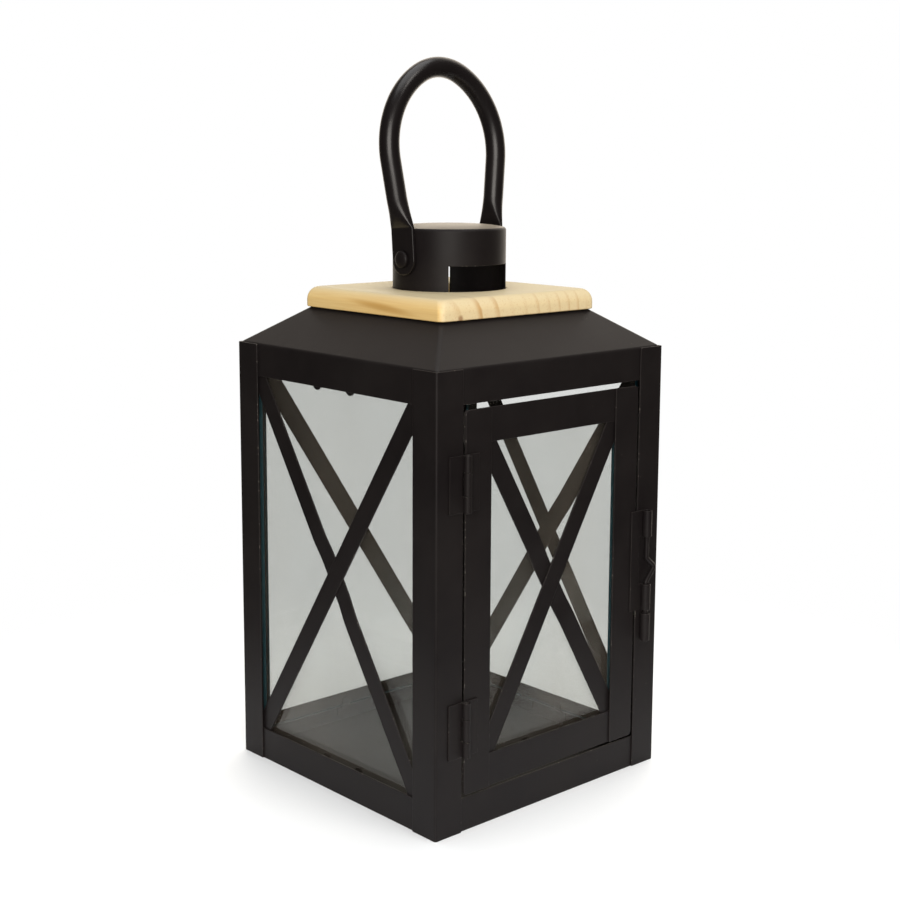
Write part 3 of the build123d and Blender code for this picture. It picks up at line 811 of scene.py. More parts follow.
print("tree:", crossed_bars.name, "nodes:", len(crossed_bars.nodes))

# %% [markdown]
# The strip itself is divided finely along its length, so that the press has something to bend. Each end is
# cut square, behind the post or the door's stile.

# %% Crossed bars on the walls
BAR_WIDTH = 10.0
BAR_REACH = 2.5
BAR_LAP = 9.0
JOGGLE_RAMP = 14.0
JOGGLE_MARGIN = 1.5
BAR_SEGMENTS = 120


def strip_form(length):
    """A flat strip along X, divided along its length so that it can be pressed back."""
    form = bmesh.new()
    section = ((0.0, -BAR_WIDTH / 2), (0.0, BAR_WIDTH / 2), (SHEET, BAR_WIDTH / 2), (SHEET, -BAR_WIDTH / 2))
    loops = []
    for step in range(BAR_SEGMENTS + 1):
        x = length * (step / BAR_SEGMENTS - 0.5)
        loops.append([form.verts.new((x, depth, across)) for depth, across in section])
    for lower, upper in zip(loops, loops[1:]):
        for index in range(4):
            following = (index + 1) % 4
            form.faces.new((lower[index], lower[following], upper[following], upper[index]))
    form.faces.new(loops[0])
    form.faces.new(loops[-1])
    return form


def cross_an_opening(name, half, low, high, walls):
    """Both strips of an opening, on each of the walls that the turns name."""
    run = half + BAR_REACH
    rise = (high - low) / 2 + BAR_REACH
    tilt = math.atan2(rise, run)
    reach = (half + BAR_LAP - BAR_WIDTH / 2 * math.sin(tilt)) / math.cos(tilt)
    strips = working_object(name, strip_form(2 * reach), PAINTED)
    values = {
        "Tilt": tilt,
        "Crossing": BAR_WIDTH / 2 * math.tan(tilt) + JOGGLE_MARGIN,
        "Ramp": JOGGLE_RAMP,
        "Set Back": SHEET,
        "Centre": (0.0, BAR_DEPTH - SIDE_HALF, (low + high) / 2),
        "Finish": black_coat,
    }
    use_tree(strips, crossed_bars, values)
    use_tree(strips, turned_copies, {**walls, "Finish": black_coat})
    ease_edges(strips, EDGE_EASE)
    return plain_mesh(strips)


WALLS = ("left", "right", "back")
wall_bars = cross_an_opening("wall_cross_bars", OPENING_HALF, TRAY_TOP, SKIRT_EDGE, OTHER_WALLS)
fit(wall_bars, "frame", [f"{wall}_{bar}_bar" for wall in WALLS for bar in ("front", "rear")])

# %% [markdown]
# ## Door frame
# The door is four flat strips: two stiles in front and two rails lapped behind them. Its outer corners are
# rounded. One plate with a window cut in it would lose the steps where the strips lap, so each strip is an
# outline of its own. The crossed bars come from the same tree as those of the walls, only shorter.

# %% Door frame and its bars
DOOR_HALF = 57.5
DOOR_LOW = 17.5
DOOR_HIGH = 196.5
DOOR_STRIP = 16.0
DOOR_CORNER = 2.0
DOOR_OPENING_HALF = DOOR_HALF - DOOR_STRIP
DOOR_OPENING_LOW = DOOR_LOW + DOOR_STRIP
DOOR_OPENING_HIGH = DOOR_HIGH - DOOR_STRIP


def plate_outline(left, right, low, high, rounded):
    """A rectangle, its corners rounded where told: low left, low right, high right, high left."""
    outline = []
    corners = ((left, low, 1, 1), (right, low, -1, 1), (right, high, -1, -1), (left, high, 1, -1))
    for index, (x, z, inward_x, inward_z) in enumerate(corners):
        if rounded[index]:
            middle = (x + inward_x * DOOR_CORNER, z + inward_z * DOOR_CORNER)
            outline += arc(middle, DOOR_CORNER, 180 + 90 * index, 270 + 90 * index)
        else:
            outline.append((x, z))
    return outline


def join_forms(forms):
    """One bmesh that holds several."""
    joined = bmesh.new()
    for form in forms:
        mesh = bpy.data.meshes.new("joining")
        form.to_mesh(mesh)
        form.free()
        joined.from_mesh(mesh)
        bpy.data.meshes.remove(mesh)
    return joined


left_stile = plate_outline(-DOOR_HALF, -DOOR_OPENING_HALF, DOOR_LOW, DOOR_HIGH, (True, False, False, True))
right_stile = plate_outline(DOOR_OPENING_HALF, DOOR_HALF, DOOR_LOW, DOOR_HIGH, (False, True, True, False))
stile_front = -SIDE_HALF
stile_outlines = (left_stile, right_stile)
stile_forms = [prism(outline, stile_front, stile_front + SHEET, facing_front) for outline in stile_outlines]
stiles = working_object("door_stiles", join_forms(stile_forms), PAINTED)
ease_edges(stiles, EDGE_EASE)
fit(plain_mesh(stiles), "door", ("door_left_stile", "door_right_stile"))

all_round = (True, True, True, True)
low_rail = plate_outline(-DOOR_HALF, DOOR_HALF, DOOR_LOW, DOOR_OPENING_LOW, all_round)
high_rail = plate_outline(-DOOR_HALF, DOOR_HALF, DOOR_OPENING_HIGH, DOOR_HIGH, all_round)
rail_front = stile_front + SHEET
rail_outlines = (low_rail, high_rail)
rail_forms = [prism(outline, rail_front, rail_front + SHEET, facing_front) for outline in rail_outlines]
rails = working_object("door_rails", join_forms(rail_forms), PAINTED)
ease_edges(rails, EDGE_EASE)
fit(plain_mesh(rails), "door", ("door_bottom_rail", "door_top_rail"))

door_bars = cross_an_opening(
    "door_cross_bars", DOOR_OPENING_HALF, DOOR_OPENING_LOW, DOOR_OPENING_HIGH, FRONT_WALL
)
fit(door_bars, "door", ("door_front_bar", "door_rear_bar"))

# %% [markdown]
# ## Panes
# Four panes stand behind the bars. Each is a plain sheet of glass with its sharp arris taken off. The large
# faces stay clear, and every narrow face gets the teal of a cut edge. A sheet without thickness would look
# the same from the front, but the cut edges show at a slant and under the roof, so the glass is solid.

# %% Glass panes
GLASS_LAP_X = 3.5
GLASS_LAP_Z = 6.0
GLASS_CLEARANCE = 0.15
ARRIS = 0.25
CLEAR_FACE_AREA = 0.005


def glaze(name, half, low, high, walls):
    """A pane behind an opening, on each of the walls that the turns name."""
    bottom = low - GLASS_LAP_Z
    top = high + GLASS_LAP_Z - GLASS_CLEARANCE
    side = half + GLASS_LAP_X
    outline = [(-side, bottom), (side, bottom), (side, top), (-side, top)]
    front = GLASS_DEPTH - SIDE_HALF
    pane_form = prism(outline, front, front + GLASS_THICKNESS, facing_front)
    panes = working_object(name, pane_form, (clear_glass, glass_edge))
    use_tree(panes, turned_copies, {**walls, "Finish": clear_glass})
    ease_edges(panes, ARRIS, 1)
    piece = plain_mesh(panes)
    for face in piece.data.polygons:
        face.material_index = 0 if face.area > CLEAR_FACE_AREA else 1
    return piece


wall_panes = glaze("wall_panes", OPENING_HALF, TRAY_TOP, SKIRT_EDGE, OTHER_WALLS)
fit(wall_panes, "frame", [f"{wall}_glass" for wall in WALLS])
door_pane = glaze("door_pane", DOOR_OPENING_HALF, DOOR_OPENING_LOW, DOOR_OPENING_HIGH, FRONT_WALL)
fit(door_pane, "door", ("door_glass",))

# %% [markdown]
# ## Glass clips
# Folded tabs hold each pane: two carry its lower edge and two hook over its upper edge, and their round ends
# peep out past the frame. A tab is a narrow strip led along a bent line, drawn in at its round end, which
# stops just short of a point. Bent boxes would do for a glance, but the ends are what shows.

# %% Glass clips
CLIP_WIDTH = 5.0
CLIP_SPREAD = 12.5
CLIP_FOOT = 6.0
LIP_SHORT = 1.0
TONGUE_HALF_WIDTH = 3.0
TONGUE_HANG = 1.7
CLIP_BEND = 0.9
CLIP_END_STEPS = 8
BLUNT_STEPS = 0.4


def clip_form(x, level, up):
    """One tab. level is the pane's edge that it holds, and up is 1 for a lower tab or -1 for an upper one."""
    foot_depth = BAR_DEPTH + SHEET / 2
    lip_depth = GLASS_DEPTH + GLASS_THICKNESS + GLASS_CLEARANCE + SHEET / 2
    web = level - up * SHEET / 2
    lip_straight = level + up * (GLASS_LAP_Z - LIP_SHORT - CLIP_WIDTH / 2)
    line = rounded_line(
        [
            (foot_depth, level - up * CLIP_FOOT),
            (foot_depth, web, CLIP_BEND),
            (lip_depth, web, CLIP_BEND),
            (lip_depth, lip_straight),
        ],
    )
    stations = [(depth, z, CLIP_WIDTH / 2) for depth, z in line]
    for step in range(1, CLIP_END_STEPS + 1):
        turn = QUARTER * step / (CLIP_END_STEPS + BLUNT_STEPS)
        half = CLIP_WIDTH / 2
        stations.append((lip_depth, lip_straight + up * half * math.sin(turn), half * math.cos(turn)))
    form = bmesh.new()
    loops = []
    for index, (depth, z, half) in enumerate(stations):
        before = Vector(stations[max(index - 1, 0)][:2])
        after = Vector(stations[min(index + 1, len(stations) - 1)][:2])
        along = (after - before).normalized()
        across = Vector((-along.y, along.x)) * (SHEET / 2)
        corners = ((-half, -1), (half, -1), (half, 1), (-half, 1))
        loop = []
        for sideways, layer in corners:
            spot = (x + sideways, depth + layer * across.x - SIDE_HALF, z + layer * across.y)
            loop.append(form.verts.new(spot))
        loops.append(loop)
    for lower, upper in zip(loops, loops[1:]):
        for index in range(4):
            following = (index + 1) % 4
            form.faces.new((lower[index], lower[following], upper[following], upper[index]))
    form.faces.new(loops[0])
    form.faces.new(loops[-1])
    return form


def tongue_form(x, high):
    """The flat tongue of an upper tab, which hangs in front of the glass and ends round below the frame."""
    top = high + GLASS_LAP_Z + CLIP_FOOT
    round_middle = (x, high - TONGUE_HANG + TONGUE_HALF_WIDTH)
    outline = [(x + TONGUE_HALF_WIDTH, top), (x - TONGUE_HALF_WIDTH, top)]
    outline += arc(round_middle, TONGUE_HALF_WIDTH, 180, 360, 2 * ARC_STEPS)
    front = BAR_DEPTH - SIDE_HALF
    return prism(outline, front, front + SHEET, facing_front)


def clip_a_pane(name, low, high, walls, with_tongues):
    """The four tabs of a pane, on each of the walls that the turns name."""
    forms = []
    for x in (-CLIP_SPREAD, CLIP_SPREAD):
        forms.append(clip_form(x, low - GLASS_LAP_Z, 1))
        forms.append(clip_form(x, high + GLASS_LAP_Z, -1))
        if with_tongues:
            forms.append(tongue_form(x, high))
    tabs = working_object(name, join_forms(forms), PAINTED)
    use_tree(tabs, turned_copies, {**walls, "Finish": black_coat})
    ease_edges(tabs, EDGE_EASE / 2, 1)
    return plain_mesh(tabs)


wall_clips = clip_a_pane("wall_glass_clips", TRAY_TOP, SKIRT_EDGE, OTHER_WALLS, True)
fit(wall_clips, "frame", [f"{wall}_glass_clips" for wall in WALLS])
door_clips = clip_a_pane("door_glass_tabs", DOOR_OPENING_LOW, DOOR_OPENING_HIGH, FRONT_WALL, False)
fit(door_clips, "door", ("door_glass_clips",))

# %% [markdown]
# ## Hinges and latch
# A leaf is sheet whose edge is curled round a pin. In plan that is a flat strip that runs into almost a full
# turn and stops short of itself, which leaves the seam seen on real knuckles. The same outline serves the
# hinge leaves, the latch plate and its keeper: only the spans of their height that are curled differ.

# %% Curled leaves
CURL_STEPS = 28
CURL_LEAVES = 105.0
CURL_STOPS = 395.0
BACK_RUN_IN = 0.3
FRONT_RUN_IN = 0.8
LEAF_BACK = -SIDE_HALF
LEAF_FRONT = LEAF_BACK - SHEET


def curled_leaf(axis, barrel, bore, reach, notch, levels, curled, side):
    """A leaf beside its pin, on side -1 or 1. Between two levels it is curled, or cut back to the notch."""
    chain = [(notch, LEAF_BACK), (barrel * BACK_RUN_IN, LEAF_BACK)]
    chain += arc((0.0, axis[1]), barrel, CURL_LEAVES, CURL_STOPS, CURL_STEPS)
    chain += arc((0.0, axis[1]), bore, CURL_STOPS, 90.0, CURL_STEPS)
    chain += [(barrel * FRONT_RUN_IN, LEAF_FRONT), (notch, LEAF_FRONT)]
    form = bmesh.new()
    ends, curls = [], []
    for z in levels:
        ends.append([form.verts.new((axis[0] + side * reach, y, z)) for y in (LEAF_BACK, LEAF_FRONT)])
        curls.append([form.verts.new((axis[0] + side * u, y, z)) for u, y in chain])
    last = len(levels) - 1
    for span in range(last):
        (back_a, front_a), (back_b, front_b) = ends[span], ends[span + 1]
        low, high = curls[span], curls[span + 1]
        form.faces.new((back_a, low[0], high[0], back_b))
        form.faces.new((front_a, front_b, high[-1], low[-1]))
        form.faces.new((back_a, back_b, front_b, front_a))
        if curled[span]:
            for index in range(len(chain) - 1):
                form.faces.new((low[index], low[index + 1], high[index + 1], high[index]))
        else:
            form.faces.new((low[0], low[-1], high[-1], high[0]))
    for level in (0, last):
        form.faces.new((*ends[level], curls[level][-1], curls[level][0]))
    around = (False, *curled, False)
    for level in range(last + 1):
        if around[level] != around[level + 1]:
            form.faces.new(curls[level])
    bare = [vert for vert in form.verts if not vert.link_faces]
    bmesh.ops.delete(form, geom=bare, context="VERTS")
    return form


# %% [markdown]
# Both hinges are alike, so a hinge is made once at the upper height and stepped down to the lower one.

# %% Hinge leaves
HINGE_AXIS = (-58.25, -77.2)
HINGE_BARREL = 1.9
HINGE_PIN = 1.1
HINGE_HALF = 13.0
HINGE_UPPER_Z = 163.8
HINGE_DROP = -114.0
MIDDLE_KNUCKLE_HALF = 5.2
KNUCKLE_GAP = 0.3
HINGE_NOTCH = 2.3
POST_LEAF_REACH = 9.5
DOOR_LEAF_REACH = 8.5
HINGE_EASE = 0.14
TWO_HINGES = {"Copies": 2, "Step": (0.0, 0.0, HINGE_DROP), "Finish": black_coat}

outer_start = MIDDLE_KNUCKLE_HALF + KNUCKLE_GAP
outer_levels = [HINGE_UPPER_Z + z for z in (-HINGE_HALF, -outer_start, outer_start, HINGE_HALF)]
outer_spans = (True, False, True)
post_leaf = curled_leaf(
    HINGE_AXIS, HINGE_BARREL, HINGE_PIN, POST_LEAF_REACH, HINGE_NOTCH, outer_levels, outer_spans, -1
)
post_leaves = working_object("hinge_post_leaves", post_leaf, PAINTED)
use_tree(post_leaves, stepped_copies, TWO_HINGES)
ease_edges(post_leaves, HINGE_EASE)
fit(plain_mesh(post_leaves), "frame", ("upper_hinge_post_leaf", "lower_hinge_post_leaf"))

middle_ends = (-HINGE_HALF, -MIDDLE_KNUCKLE_HALF, MIDDLE_KNUCKLE_HALF, HINGE_HALF)
middle_levels = [HINGE_UPPER_Z + z for z in middle_ends]
middle_spans = (False, True, False)
door_leaf = curled_leaf(
    HINGE_AXIS, HINGE_BARREL, HINGE_PIN, DOOR_LEAF_REACH, HINGE_NOTCH, middle_levels, middle_spans, 1
)
door_leaves = working_object("hinge_door_leaves", door_leaf, PAINTED)
use_tree(door_leaves, stepped_copies, TWO_HINGES)
ease_edges(door_leaves, HINGE_EASE)
fit(plain_mesh(door_leaves), "door", ("upper_hinge_door_leaf", "lower_hinge_door_leaf"))

# %% [markdown]
# The pins are turned work, so half a section is spun about an upright axis. The rivets and screws further
# down are made the same way. Only the pins' ends show, which handling has rubbed, so they get the worn coat.

# %% Hinge pins
PIN_END = 0.4
PIN_CHAMFER = 0.25
PIN_EASE = 0.05
PIN_FIT = 0.04
PIN_SIDES = 32


def spun(profile, steps):
    """A bmesh of (radius, height) points spun about the upright axis."""
    form = bmesh.new()
    bridge(form, [(arc((0.0, 0.0), radius, 0, 360, steps)[:-1], height) for radius, height in profile])
    return form


pin_radius = HINGE_PIN - PIN_FIT
pin_end = HINGE_HALF + PIN_END
pin_profile = [
    (0.0, -pin_end),
    (pin_radius - PIN_CHAMFER, -pin_end),
    (pin_radius, -pin_end + PIN_CHAMFER),
    (pin_radius, pin_end - PIN_CHAMFER),
    (pin_radius - PIN_CHAMFER, pin_end),
    (0.0, pin_end),
]
pin_form = spun(pin_profile, PIN_SIDES)
bmesh.ops.translate(pin_form, verts=pin_form.verts, vec=(*HINGE_AXIS, HINGE_UPPER_Z))
pins = working_object("hinge_pins", pin_form, (black_edge,))
use_tree(pins, stepped_copies, {**TWO_HINGES, "Finish": black_edge})
ease_edges(pins, PIN_EASE, 1)
fit(plain_mesh(pins), "frame", ("upper_hinge_pin", "lower_hinge_pin"))

# %% [markdown]
# The latch is a plate on the door with two curled knuckles, and a wire bolt that drops through them into the
# keeper on the post. Plate and keeper are curled leaves again.

# %% Latch plate and keeper
LATCH_AXIS = (63.5, -77.6)
LATCH_BARREL = 2.4
LATCH_BORE = 1.4
LATCH_LEVELS = (82.6, 95.8, 120.3, 133.5)
LATCH_PLATE_REACH = 9.5
LATCH_PLATE_NOTCH = 3.5
KEEPER_LEVELS = (66.6, 80.6)
KEEPER_REACH = 6.5

plate_spans = (True, False, True)
plate_form = curled_leaf(
    LATCH_AXIS, LATCH_BARREL, LATCH_BORE, LATCH_PLATE_REACH, LATCH_PLATE_NOTCH, LATCH_LEVELS, plate_spans, -1
)
latch_plate = working_object("latch_plate_curled", plate_form, PAINTED)
ease_edges(latch_plate, EDGE_EASE)
fit(plain_mesh(latch_plate), "door", ("latch_plate",))

keeper_form = curled_leaf(
    LATCH_AXIS, LATCH_BARREL, LATCH_BORE, KEEPER_REACH, LATCH_PLATE_NOTCH, KEEPER_LEVELS, (True,), 1
)
keeper = working_object("latch_keeper_curled", keeper_form, PAINTED)
ease_edges(keeper, EDGE_EASE)
fit(plain_mesh(keeper), "frame", ("latch_keeper",))

# %% [markdown]
# The bolt is a wire with a sideways kink for the finger. A tree rounds the corners of its line and leads a
# round section along it, so the kink can be moved without drawing the wire again.

# %% Latch bolt
BOLT_RADIUS = 1.25
BOLT_LOW = 73.1
BOLT_HIGH = 127.3
KINK_LEVELS = (96.9, 103.9, 109.1)
KINK_REACH = 6.0
KINK_BEND = 1.8
WIRE_SIDES = 24
BOLT_END_EASE = 0.3

bent_wire, given = new_tree(
    "bent_wire",
    {"Wire Radius": "Float", "Bend Radius": "Float", "Round Points": "Int", "Finish": "Material"},
)
path = add_node(bent_wire, "GeometryNodeMeshToCurve", {"Mesh": given["Geometry"]}).outputs[0]
bent = add_node(
    bent_wire,
    "GeometryNodeFilletCurve",
    {"Curve": path, "Count": given["Round Points"], "Radius": given["Bend Radius"], "Limit Radius": True},
    mode="POLY",
).outputs[0]
section = add_node(
    bent_wire,
    "GeometryNodeCurvePrimitiveCircle",
    {"Resolution": given["Round Points"], "Radius": given["Wire Radius"]},
).outputs[0]
wire = add_node(
    bent_wire,
    "GeometryNodeCurveToMesh",
    {"Curve": bent, "Profile Curve": section, "Fill Caps": True},
).outputs[0]
smooth_wire = add_node(bent_wire, "GeometryNodeSetShadeSmooth", {"Geometry": wire}).outputs[0]
close_tree(bent_wire, smooth_wire, given["Finish"])

wire_form = bmesh.new()
wire_points = [
    (LATCH_AXIS[0], LATCH_AXIS[1], BOLT_LOW),
    (LATCH_AXIS[0], LATCH_AXIS[1], KINK_LEVELS[0]),
    (LATCH_AXIS[0] + KINK_REACH, LATCH_AXIS[1], KINK_LEVELS[1]),
    (LATCH_AXIS[0], LATCH_AXIS[1], KINK_LEVELS[2]),
    (LATCH_AXIS[0], LATCH_AXIS[1], BOLT_HIGH),
]
wire_verts = [wire_form.verts.new(point) for point in wire_points]
for pair in zip(wire_verts, wire_verts[1:]):
    wire_form.edges.new(pair)
bolt = working_object("latch_bolt_wire", wire_form, (black_coat,))
bolt_values = {
    "Wire Radius": BOLT_RADIUS,
    "Bend Radius": KINK_BEND,
    "Round Points": WIRE_SIDES,
    "Finish": black_coat,
}
use_tree(bolt, bent_wire, bolt_values)
ease_edges(bolt, BOLT_END_EASE)
fit(plain_mesh(bolt), "latch_bolt", ("latch_bolt",))

# %% [markdown]
# ## Pine board
# The board's upper edge is well rounded, its lower edge only broken with sandpaper, and a round hole takes
# the chimney. Rings are laid round the outside, over the top and down through the hole, and the last ring is
# joined to the first, so that the board is one closed skin. A box with a bevel and a drilled hole would have
# the same round on every edge, and sanding by hand doesn't leave that.

# %% Pine board
BOARD_HALF = 51.0
BOARD_CORNER = 3.0
CORNER_GROWTH = 0.2
ROUND_IN = 4.0
ROUND_DOWN = 6.4
BOARD_BREAK = 0.6
BOARD_HOLE = 28.4
HOLE_BREAK = 0.4

board_line = rounded_line(
    [
        (BOARD_HALF - 4 * BOARD_BREAK, ROOF_TOP),
        (BOARD_HALF, ROOF_TOP, BOARD_BREAK),
        (BOARD_HALF, BOARD_TOP - ROUND_DOWN),
    ],
)
for inward, level in arc((-1.0, -1.0), 1.0, 0, 90)[1:]:
    board_line.append((BOARD_HALF + ROUND_IN * inward, BOARD_TOP + ROUND_DOWN * level))
board_line.append((BOARD_HALF - 2 * ROUND_IN, BOARD_TOP))
board_rings = []
for half, z in board_line:
    corner = BOARD_CORNER + (BOARD_HALF - half) * CORNER_GROWTH
    board_rings.append((square_ring(half, corner), z))
hole_line = [
    (BOARD_HOLE + HOLE_BREAK, BOARD_TOP),
    (BOARD_HOLE, BOARD_TOP - HOLE_BREAK),
    (BOARD_HOLE, ROOF_TOP),
]
board_outline = square_ring(BOARD_HALF, BOARD_CORNER)
board_rings += [(round_ring(radius, board_outline), z) for radius, z in hole_line]
board_rings.append(board_rings[0])
board_form = bmesh.new()
bridge(board_form, board_rings)
board = working_object("pine_board", board_form, (pine,))
flat_faces = board.modifiers.new("flat faces", "WEIGHTED_NORMAL")
flat_faces.keep_sharp = True
fit(plain_mesh(board), "frame", ("wood_top",))

# %% [markdown]
# ## Chimney
# The cap is drawn from sheet: a faintly crowned top, a tight rim, a straight wall and a flange that hides
# under the roof. Two vent windows face front and back. They could be cut out of a whole cap, but a cut leaves
# ragged faces on a round wall. So the window's edges fall on lines of the mesh, faces are left out there, and
# the sheet's thickness is closed round each window.

# %% The chimney's rows and bearings
CHIMNEY_RADIUS = 28.0
CHIMNEY_TOP = 273.0
CHIMNEY_RIM = 1.6
FLANGE_RADIUS = 37.0
FLANGE_TOP = ROOF_TOP - SHEET
VENT_HALF_ANGLE = 42.5
VENT_LOW = 238.0
VENT_HIGH = 255.2
CHIMNEY_STEP = 2.5
CROWN = 1.4
CROWN_POWER = 4
CROWN_SHARES = (0.97, 0.92, 0.85, 0.76, 0.64, 0.48, 0.25)

inner_radius = CHIMNEY_RADIUS - SHEET
vent_half_width = CHIMNEY_RADIUS * math.sin(math.radians(VENT_HALF_ANGLE))
inner_half_angle = math.degrees(math.asin(vent_half_width / inner_radius))
rim_middle = (CHIMNEY_RADIUS - CHIMNEY_RIM, CHIMNEY_TOP - CHIMNEY_RIM)
crown_rows = [
    (rim_middle[0] * share, CHIMNEY_TOP + CROWN * (1 - share**CROWN_POWER)) for share in CROWN_SHARES
]
outer_rows = [
    (inner_radius, FLANGE_TOP - SHEET),
    (FLANGE_RADIUS, FLANGE_TOP - SHEET),
    (FLANGE_RADIUS, FLANGE_TOP),
    (CHIMNEY_RADIUS, FLANGE_TOP),
    (CHIMNEY_RADIUS, VENT_LOW),
    (CHIMNEY_RADIUS, VENT_HIGH),
    *arc(rim_middle, CHIMNEY_RIM, 0, 90),
    *crown_rows,
]
inner_rows = [
    *[(radius, z - SHEET) for radius, z in reversed(crown_rows)],
    *arc(rim_middle, CHIMNEY_RIM - SHEET, 90, 0),
    (inner_radius, VENT_HIGH),
    (inner_radius, VENT_LOW),
]
count = int(360 / CHIMNEY_STEP)
chimney_bearings = [index * CHIMNEY_STEP - 90 - VENT_HALF_ANGLE for index in range(count)]


def inner_bearing(bearing):
    """The inner wall's bearing for an outer one: a vent's sides run straight through the wall."""
    from_vent = (bearing + 180) % 180 - 90
    if abs(from_vent) <= VENT_HALF_ANGLE:
        return bearing - from_vent + from_vent * inner_half_angle / VENT_HALF_ANGLE
    from_wall = (bearing + 90) % 180 - 90
    wall_half = 90 - VENT_HALF_ANGLE
    return bearing - from_wall + from_wall * (90 - inner_half_angle) / wall_half


def in_vent(index):
    """True if the step after this bearing lies in a vent."""
    middle = chimney_bearings[index] + CHIMNEY_STEP / 2
    return abs((middle + 180) % 180 - 90) < VENT_HALF_ANGLE


inner_bearings = [inner_bearing(bearing) for bearing in chimney_bearings]
print("chimney rows:", len(outer_rows), "outside,", len(inner_rows), "inside, bearings:", count)

# %% [markdown]
# The skin runs up the outside, over the crown, down the inside and back to the first row. Its top is closed
# by one face outside and one inside, and the dust film goes on whatever looks up from there.

# %% The chimney's skin
chimney_form = bmesh.new()
chimney_rows = []
for rows, row_bearings in ((outer_rows, chimney_bearings), (inner_rows, inner_bearings)):
    turns = [math.radians(bearing) for bearing in row_bearings]
    for radius, z in rows:
        spots = [(radius * math.cos(t), radius * math.sin(t), z) for t in turns]
        chimney_rows.append([chimney_form.verts.new(spot) for spot in spots])
outer_low = outer_rows.index((CHIMNEY_RADIUS, VENT_LOW))
inner_high = len(outer_rows) + inner_rows.index((inner_radius, VENT_HIGH))
vent_rows = (outer_low, inner_high)
top_rows = (len(outer_rows) - 1, len(outer_rows))
for row, lower in enumerate(chimney_rows):
    if row == top_rows[0]:
        continue
    upper = chimney_rows[(row + 1) % len(chimney_rows)]
    for index in range(count):
        if row in vent_rows and in_vent(index):
            continue
        following = (index + 1) % count
        chimney_form.faces.new((lower[index], lower[following], upper[following], upper[index]))
for row in top_rows:
    chimney_form.faces.new(chimney_rows[row])
outside_low, outside_high = chimney_rows[outer_low], chimney_rows[outer_low + 1]
inside_high, inside_low = chimney_rows[inner_high], chimney_rows[inner_high + 1]
for index in range(count):
    following = (index + 1) % count
    if in_vent(index):
        for outside, inside in ((outside_low, inside_low), (outside_high, inside_high)):
            sill = (outside[index], outside[following], inside[following], inside[index])
            chimney_form.faces.new(sill)
    if in_vent(index) != in_vent(index - 1):
        jamb = (outside_low[index], outside_high[index], inside_high[index], inside_low[index])
        chimney_form.faces.new(jamb)
chimney = working_object("chimney_cap", chimney_form, PAINTED)
ease_edges(chimney, EDGE_EASE)
chimney_piece = plain_mesh(chimney)
chimney_piece.data.materials.append(black_dusty)
for face in chimney_piece.data.polygons:
    if face.normal.z > FACES_UP and face.center.z > (CHIMNEY_TOP - SHEET / 2) * MM:
        face.material_index = len(chimney_piece.data.materials) - 1
fit(chimney_piece, "frame", ("chimney",))

# %% [markdown]
# ## Bail handle
# The bail is a steel tube bent to a horseshoe. Its two ends are pressed flat, rounded and hung on rivets.
# Its middle line is drawn first, in its own plane: up the strap, out along the flared leg, round the side and
# over the top, then mirrored. The whole plane leans back a little, as the photographed bail stands.

# %% The bail's middle line
PIVOT_Z = 258.0
BAIL_LEAN = math.radians(4.5)
TUBE_RADIUS = 5.0
STRAP_HALF_WIDTH = math.pi * TUBE_RADIUS / 2
STRAP_HALF_THICK = 1.0
STRAP_X = 29.3
BAIL_WIDEST_HALF = 35.0
BAIL_WIDEST_H = 53.0
BAIL_SIDE_RADIUS = 41.0
BAIL_TOP_RADIUS = 28.0
LEG_FLARE = 8.2
CREASE_H = 15.0
TAPER_H = 14.0
LINE_STEP = 1.0
SIDE_STEPS = 60
TOP_STEPS = 20

side_x = BAIL_WIDEST_HALF - BAIL_SIDE_RADIUS
top_rise = math.sqrt((BAIL_SIDE_RADIUS - BAIL_TOP_RADIUS) ** 2 - side_x**2)
join_turn = math.degrees(math.atan2(top_rise, -side_x))
flare = math.radians(LEG_FLARE)
leg_x = side_x + BAIL_SIDE_RADIUS * math.cos(flare)
leg_height = BAIL_WIDEST_H - BAIL_SIDE_RADIUS * math.sin(flare)
leg_top = Vector((leg_x, leg_height))
taper_top = CREASE_H + TAPER_H
taper_x = leg_top.x - (leg_top.y - taper_top) * math.tan(flare)
runs = [(STRAP_X, -STRAP_HALF_WIDTH), (STRAP_X, CREASE_H), (taper_x, taper_top), tuple(leg_top)]
half_line = []
for start, end in zip(runs, runs[1:]):
    pieces = max(1, round((Vector(end) - Vector(start)).length / LINE_STEP))
    half_line += [tuple(Vector(start).lerp(Vector(end), step / pieces)) for step in range(pieces)]
half_line += arc((side_x, BAIL_WIDEST_H), BAIL_SIDE_RADIUS, -LEG_FLARE, join_turn, SIDE_STEPS)
half_line += arc((0.0, BAIL_WIDEST_H + top_rise), BAIL_TOP_RADIUS, join_turn, 90, TOP_STEPS)[1:]
bail_line = half_line + [(-x, height) for x, height in reversed(half_line[:-1])]
bail_form = bmesh.new()
lean_y, lean_z = math.sin(BAIL_LEAN), math.cos(BAIL_LEAN)
bail_verts = [bail_form.verts.new((x, height * lean_y, PIVOT_Z + height * lean_z)) for x, height in bail_line]
for pair in zip(bail_verts, bail_verts[1:]):
    bail_form.edges.new(pair)
print("bail line points:", len(bail_line), "top at", round(max(v.co.z for v in bail_verts), 1), "mm")

# %% [markdown]
# A round section led along the line would give a tube, but not its pressed ends. The shape follows a rule all
# the way, so one tree makes it: a grid is wrapped round the line, and at each place the section goes from a
# flat strap, through the crease of the press, to the full round of the tube. Pressing keeps the girth, which
# is why the strap is wider than the tube.
# The first half of the tree finds each grid point's place on the line, with more of them near both ends, and
# how wide and thick the section is there. The tips are rounded in both directions.

# %% The bail's tree: place and size of the section
PRESS_EASE = 1.7

